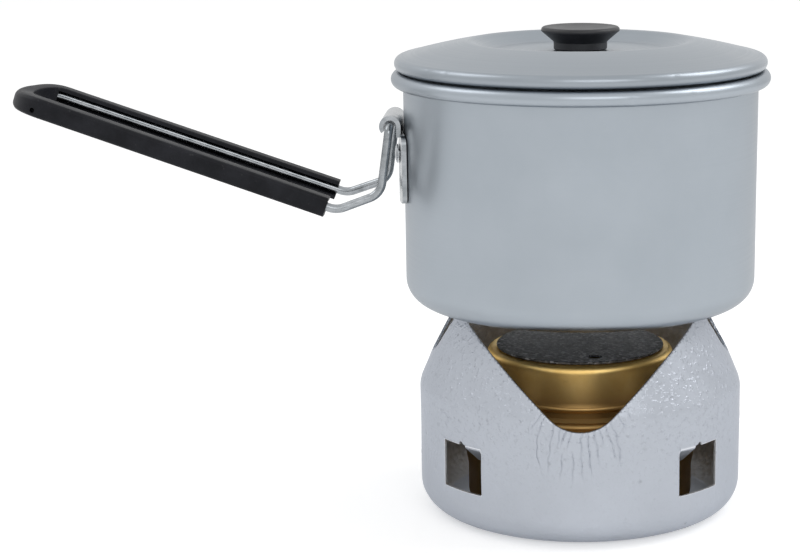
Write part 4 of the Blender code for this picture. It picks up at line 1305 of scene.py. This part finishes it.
class Finish(Graph):
    """A Principled material, with the object's own coordinates."""

    def __init__(self, name, metallic):
        super().__init__(bpy.data.materials.new(name))
        self.shader = self.tree.nodes["Principled BSDF"]
        self.fixed("Metallic", metallic)
        self.place = self.add("TexCoord")["Object"]
        self.parts = self.add("SeparateXYZ", {0: self.place})

    def fixed(self, name, value):
        """Sets a value that is the same all over the surface."""
        self.shader.inputs[name].default_value = value

    def turned(self):
        """Coordinates that stay the same round the upright axis, as turning marks do."""
        x, y, z = self.parts[0], self.parts[1], self.parts[2]
        radius = self.calc("SQRT", self.calc("ADD", self.times(x, x), self.times(y, y)))
        return self.add("CombineXYZ", {0: radius, 1: z, 2: 0.0})[0]

    def speckle(self, scale, detail=2.0, roughness=0.5, vector=None):
        inputs = {"Vector": vector or self.place, "Scale": scale, "Detail": detail}
        return self.add("TexNoise", {**inputs, "Roughness": roughness})["Fac"]

    def over(self, colour, value, low, high, tint, most=1.0):
        """Lays a tint over a colour where a value rises from low to high."""
        return self.mixed(self.spread(value, low, high, 0.0, most), colour, tint)

    def stretched(self, *scale):
        return self.add("Mapping", {"Vector": self.place, "Scale": scale})[0]

    def cells(self, scale):
        return self.add("TexVoronoi", {"Vector": self.place, "Scale": scale})

    def finished(self, colour, rough, layers, metallic=None):
        """Links the surface; layers are bumps of (height, strength, distance in mm)."""
        normal = None
        for height, strength, distance in layers:
            inputs = {"Height": height, "Strength": strength, "Distance": distance * MM}
            if normal is not None:
                inputs["Normal"] = normal
            normal = self.add("Bump", inputs)["Normal"]
        links = {"Base Color": colour, "Roughness": rough, "Normal": normal, "Metallic": metallic}
        for name, socket in links.items():
            if socket is not None:
                self.tree.links.new(socket, self.shader.inputs[name])
        return self.owner


def scaled(level, *tints):
    """The same colours, each times a level."""
    return [tuple(level * c for c in tint) for tint in tints]


def spun_aluminium(name, level, edge):
    """Satin aluminium with fine turning lines and faint smears."""
    own = Finish(name, 1.0)
    own.fixed("Specular Tint", (edge, edge, edge, 1))
    rings = own.turned()
    fine = own.speckle(2600, 3.0, 0.7, rings)
    broad = own.speckle(420, 2.0, 0.6, rings)
    smear = own.speckle(38, 4.0, 0.55)
    blotch = own.speckle(11)
    grain = own.speckle(1500, 3.0, 0.6)
    low, high, dull = scaled(
        level, (0.350, 0.388, 0.426), (0.392, 0.430, 0.470), (0.306, 0.335, 0.366)
    )
    colour = own.over(low, smear, 0.3, 0.7, high)
    colour = own.over(colour, blotch, 0.35, 0.65, dull, 0.25)
    rough = own.spread(smear, 0.3, 0.7, 0.30, 0.40)
    rough = own.calc("ADD", rough, own.spread(fine, 0.35, 0.65, -0.02, 0.04))
    layers = [(broad, 0.10, 0.05), (fine, 0.16, 0.02), (grain, 0.08, 0.02)]
    return own.finished(colour, rough, layers)


def pressed_aluminium():
    """Brighter sheet: upright draw marks, a stippled upper wall, small pits with painted shade,
    an inner wall painted paler as painted light, and painted highlight and shade lines at punched
    edges.
    """
    own = Finish("pressed_aluminium", 1.0)
    own.fixed("Specular Tint", (0.76, 0.77, 0.79, 1))
    draw = own.speckle(900, 3.0, 0.6, own.stretched(1, 1, 0.06))
    peel = own.speckle(520, 3.0, 0.55)
    smear = own.speckle(34, 4.0, 0.6)
    cells = own.cells(210)
    chosen = own.add("SeparateColor", {0: cells["Color"]})[0]
    hole = own.calc("SUBTRACT", 1.0, own.spread(cells["Distance"], 0.03, 0.16))
    hole = own.times(hole, own.spread(chosen, 0.70, 0.74))
    colour = own.over((0.415, 0.440, 0.485), smear, 0.3, 0.7, (0.465, 0.493, 0.543))
    # Painted shade: the pits are painted darker at their middles, besides being pressed in by the
    # bump.
    colour = own.mixed(own.times(hole, 0.35), colour, (0.22, 0.23, 0.25))
    facing_out = {0: own.add("NewGeometry")["Normal"], 1: own.place}
    outward = own.add("VectorMath", facing_out, operation="DOT_PRODUCT")["Value"]
    inner = own.spread(outward, INWARD_FULL * MM, INWARD_NONE * MM, 1.0, 0.0)
    upper = own.spread(own.parts[2], KNOCKS_LOW_Z * MM, KNOCKS_HIGH_Z * MM, 0.25, 1.0)
    knocks = own.times(own.spread(own.speckle(620), 0.54, 0.70), upper)
    fleck = own.spread(own.speckle(900, 3.0, 0.6), 0.58, 0.68, 0.0, 0.30)
    colour = own.mixed(own.times(fleck, upper), colour, (0.24, 0.25, 0.275))
    # Painted light: inward faces are painted paler, standing in for light on the shaded inner
    # wall.
    colour = own.mixed(own.times(inner, 0.8), colour, (0.64, 0.65, 0.66))
    # Painted highlight round the vents and painted shade line along the V's edge, both read from
    # the punched attribute.
    painted_edge_light_and_shade = own.add("Attribute", attribute_name="punched")["Fac"]
    colour = own.over(colour, painted_edge_light_and_shade, 0.3, 1.0, (0.93, 0.94, 0.96), 0.75)
    colour = own.mixed(own.spread(painted_edge_light_and_shade, -0.9, -0.2, 0.9, 0.0), colour, (0.07, 0.072, 0.078))
    rough = own.spread(smear, 0.3, 0.7, 0.37, 0.47)
    rough = own.calc("ADD", rough, own.times(inner, 0.2))
    crumple = own.times(own.cells(420)["Distance"], inner)
    layers = [(draw, 0.10, 0.04), (peel, 0.75, 0.11), (knocks, 0.9, 0.17)]
    layers += [(own.times(hole, -1.0), 1.0, 0.22), (crumple, 0.9, 0.45)]
    metallic = own.calc("SUBTRACT", 1.0, own.times(inner, 0.5))
    return own.finished(colour, rough, layers, metallic)


def brass(name, level):
    """Spun brass, bright where it is rubbed and brown where it has tarnished, and painted darker
    towards its foot as painted shade.
    """
    own = Finish(name, 1.0)
    lines = own.speckle(1900, 3.0, 0.65, own.turned())
    stain = own.speckle(60, 5.0, 0.6)
    spots = own.speckle(430, 3.0, 0.6)
    drawn = own.spread(stain, 0.38, 0.66)
    bright, brown, foot = scaled(
        level, (0.98, 0.70, 0.27), (0.84, 0.54, 0.165), (0.42, 0.25, 0.095)
    )
    colour = own.mixed(drawn, bright, brown)
    dark = own.times(own.spread(spots, 0.62, 0.74, 0.0, 0.4), drawn)
    colour = own.mixed(dark, colour, (0.24, 0.13, 0.05))
    # Painted shade: the brass darkens towards its foot, low inside the stand.
    low = own.spread(own.parts[2], FOOT_SHADE_Z * MM, FOOT_SHADE_END_Z * MM, 0.85, 0.0)
    colour = own.mixed(low, colour, foot)
    rough = own.spread(stain, 0.35, 0.7, 0.42, 0.56)
    return own.finished(colour, rough, [(lines, 0.14, 0.03), (spots, 0.10, 0.03)])


def cover_coating():
    """Dark grey heat-proof coating with a granular surface and a worn, paler speckle."""
    own = Finish("granular_coating", 0.0)
    grains = own.cells(1150)
    cloud = own.speckle(260, 5.0, 0.7)
    colour = own.over((0.022, 0.022, 0.024), cloud, 0.35, 0.68, (0.120, 0.122, 0.126))
    glint = own.spread(grains["Distance"], 0.0, 0.30, 0.75, 0.0)
    colour = own.mixed(glint, colour, (0.26, 0.26, 0.27))
    flake = own.add("SeparateColor", {0: grains["Color"]})
    colour = own.over(colour, flake[0], 0.62, 0.78, (0.30, 0.302, 0.31), 0.95)
    colour = own.over(colour, flake[1], 0.50, 0.70, (0.012, 0.012, 0.013), 0.9)
    rough = own.spread(cloud, 0.3, 0.7, 0.48, 0.72)
    return own.finished(colour, rough, [(grains["Distance"], 0.8, 0.16), (cloud, 0.5, 0.16)])


def zinc_steel():
    """Zinc-plated steel: cool grey with streaks and dull patches."""
    own = Finish("zinc_steel", 1.0)
    streak = own.speckle(1400, 4.0, 0.65, own.stretched(0.12, 1, 1))
    patch = own.speckle(190, 4.0, 0.6)
    grain = own.speckle(1700)
    colour = own.over((0.25, 0.268, 0.282), patch, 0.35, 0.65, (0.42, 0.44, 0.46))
    colour = own.over(colour, streak, 0.55, 0.75, (0.14, 0.15, 0.155), 0.6)
    rough = own.spread(patch, 0.35, 0.65, 0.18, 0.34)
    return own.finished(colour, rough, [(streak, 0.25, 0.03), (grain, 0.15, 0.02)])


def black_plastic(name, gloss):
    """Black moulded plastic with a fine spark grain and paler rubbed patches."""
    own = Finish(name, 0.0)
    own.fixed("Specular IOR Level", gloss)
    grain = own.speckle(2600, 3.0, 0.6)
    rubbed = own.speckle(75, 4.0, 0.65)
    dust = own.speckle(900)
    colour = own.over((0.0075, 0.008, 0.0105), rubbed, 0.40, 0.72, (0.021, 0.022, 0.027))
    colour = own.over(colour, dust, 0.68, 0.78, (0.06, 0.06, 0.062), 0.5)
    rough = own.spread(rubbed, 0.35, 0.7, 0.42, 0.56)
    return own.finished(colour, rough, [(grain, 0.30, 0.03), (rubbed, 0.05, 0.2)])


def rivet_metal():
    """Plain aluminium with a hammered, slightly dull face."""
    own = Finish("rivet_metal", 1.0)
    hammer = own.speckle(900)
    smear = own.speckle(300, 3.0, 0.6)
    colour = own.over((0.38, 0.40, 0.42), smear, 0.35, 0.65, (0.50, 0.52, 0.54))
    rough = own.spread(smear, 0.35, 0.65, 0.30, 0.45)
    return own.finished(colour, rough, [(hammer, 0.35, 0.06)])


def wick_fibre():
    """Packed pale fibre, scorched here and there."""
    own = Finish("packed_fibre", 0.0)
    fibre = own.speckle(1600, 5.0, 0.75, own.stretched(1, 0.25, 1))
    scorch = own.speckle(120, 3.0, 0.6)
    colour = own.mixed(fibre, (0.52, 0.48, 0.38), (0.78, 0.74, 0.64))
    colour = own.over(colour, scorch, 0.55, 0.75, (0.16, 0.12, 0.08), 0.6)
    rough = own.spread(fibre, 0.2, 0.8, 0.85, 0.98)
    return own.finished(colour, rough, [(fibre, 0.8, 0.25)])


# Stage


def background_share(graph):
    """1 for rays that show the background: from the camera, in metal and through glass."""
    rays = graph.add("LightPath")
    share = graph.calc("MAXIMUM", rays["Is Camera Ray"], rays["Is Glossy Ray"])
    return graph.calc("MAXIMUM", share, rays["Is Transmission Ray"])


def cleared(owner):
    """The node tree of a world or material, emptied."""
    graph = Graph(owner)
    graph.tree.nodes.clear()
    return graph


def world():
    made = bpy.data.worlds.new("studio")
    bpy.context.scene.world = made
    graph = cleared(made)
    colour = graph.mixed(background_share(graph), (WORLD_GREY,) * 3, (1.0, 1.0, 1.0))
    light = graph.add("Background", {"Color": colour, "Strength": 1.0})[0]
    graph.add("OutputWorld", {"Surface": light})


def floor():
    """A wide pale floor; its own faint glow lifts it to the background's white."""
    corners = [(-1, -1), (1, -1), (1, 1), (-1, 1)]
    verts = [(x * FLOOR_HALF, y * FLOOR_HALF, -FLOOR_DROP) for x, y in corners]
    obj = mesh_object("floor", verts, [(0, 1, 2, 3)])
    made = bpy.data.materials.new("pale_floor")
    graph = cleared(made)
    matt = graph.add("BsdfDiffuse", {"Color": (FLOOR_GREY,) * 3})[0]
    strength = graph.times(background_share(graph), FLOOR_GLOW)
    glow = graph.add("Emission", {"Color": (1, 1, 1), "Strength": strength})[0]
    both = graph.add("AddShader", {0: matt, 1: glow})[0]
    graph.add("OutputMaterial", {"Surface": both})
    obj.data.materials.append(made)


def softbox(name, place, size, power):
    """A rectangular lamp at a place in metres, turned towards the object."""
    lamp = bpy.data.lights.new(name, "AREA")
    lamp.shape = "RECTANGLE"
    lamp.size, lamp.size_y = size
    lamp.energy = power
    obj = linked(name, lamp)
    obj.location = place
    aim = Vector(LIGHT_TARGET) - Vector(place)
    obj.rotation_euler = aim.to_track_quat("-Z", "Y").to_euler()


def camera():
    """The photograph's view: yaw to the left, pitch down and roll, in that order."""
    angles = (CAMERA_YAW_DEG, 90 - CAMERA_PITCH_DEG, CAMERA_ROLL_DEG)
    yaw, tilt, roll = (Matrix.Rotation(radians(a), 4, axis) for a, axis in zip(angles, "ZXZ"))
    data = bpy.data.cameras.new("photo_view")
    data.lens = CAMERA_LENS
    data.sensor_width = CAMERA_SENSOR
    data.shift_x, data.shift_y = CAMERA_SHIFT
    data.clip_start, data.clip_end = CAMERA_CLIP
    obj = linked("photo_view", data)
    obj.matrix_world = Matrix.Translation(Vector(CAMERA_AT) * MM) @ yaw @ tilt @ roll
    bpy.context.scene.camera = obj


def stage():
    bpy.context.scene.view_settings.view_transform = "Standard"
    world()
    floor()
    for lamp in SOFTBOXES:
        softbox(*lamp)
    camera()


def main():
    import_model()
    # Painted shade: the burner's brass is a darker copy of the ring's, for the cup deep in the
    # stand.
    shaded_cup_brass, zinc = brass("shaded_cup_brass", 0.75), zinc_steel()
    pot_metal = spun_aluminium("pot_aluminium", 0.99, 0.78)
    # Painted shade: the lid's aluminium is a darker copy of the pot's, for the lid's upturned
    # top.
    shaded_lid_metal = spun_aluminium("shaded_lid_aluminium", 0.84, 1.0)
    grip_plastic = black_plastic("grip_plastic", 0.14)
    knob_plastic = black_plastic("knob_plastic", 0.5)
    piece(stand_shell(), "stand", "stand_shell", pressed_aluminium())
    piece(burner_cup(), "burner", "burner_cup", shaded_cup_brass)
    piece(burner_collar(), "burner", "burner_collar", shaded_cup_brass)
    piece(burner_wick(), "burner", "burner_wick", wick_fibre())
    piece(simmer_ring(), "ring", "simmer_ring", brass("ring_brass", 1.0))
    piece(cover_rivet(), "ring", "cover_rivet", zinc)
    piece(simmer_cover(), "cover", "simmer_cover", cover_coating())
    piece(pot_body(), "pot", "pot_body", pot_metal)
    piece(handle_bracket(), "pot", "handle_bracket", zinc)
    rivets = rivet_metal()
    for end, side in (("near", -1), ("far", 1)):
        rivet = bracket_rivet(f"rivet_{end}_detail", side)
        piece(rivet, "pot", f"bracket_rivet_{end}", rivets)
    piece(handle_wire(), "handle", "handle_wire", zinc)
    piece(handle_grip(), "handle", "handle_grip", grip_plastic)
    piece(lid_shell(), "lid", "lid_shell", shaded_lid_metal)
    piece(lid_knob(), "lid", "lid_knob", knob_plastic)
    piece(knob_washer(), "lid", "knob_washer", zinc)
    piece(knob_screw(), "lid", "knob_screw", zinc)
    stage()


main()
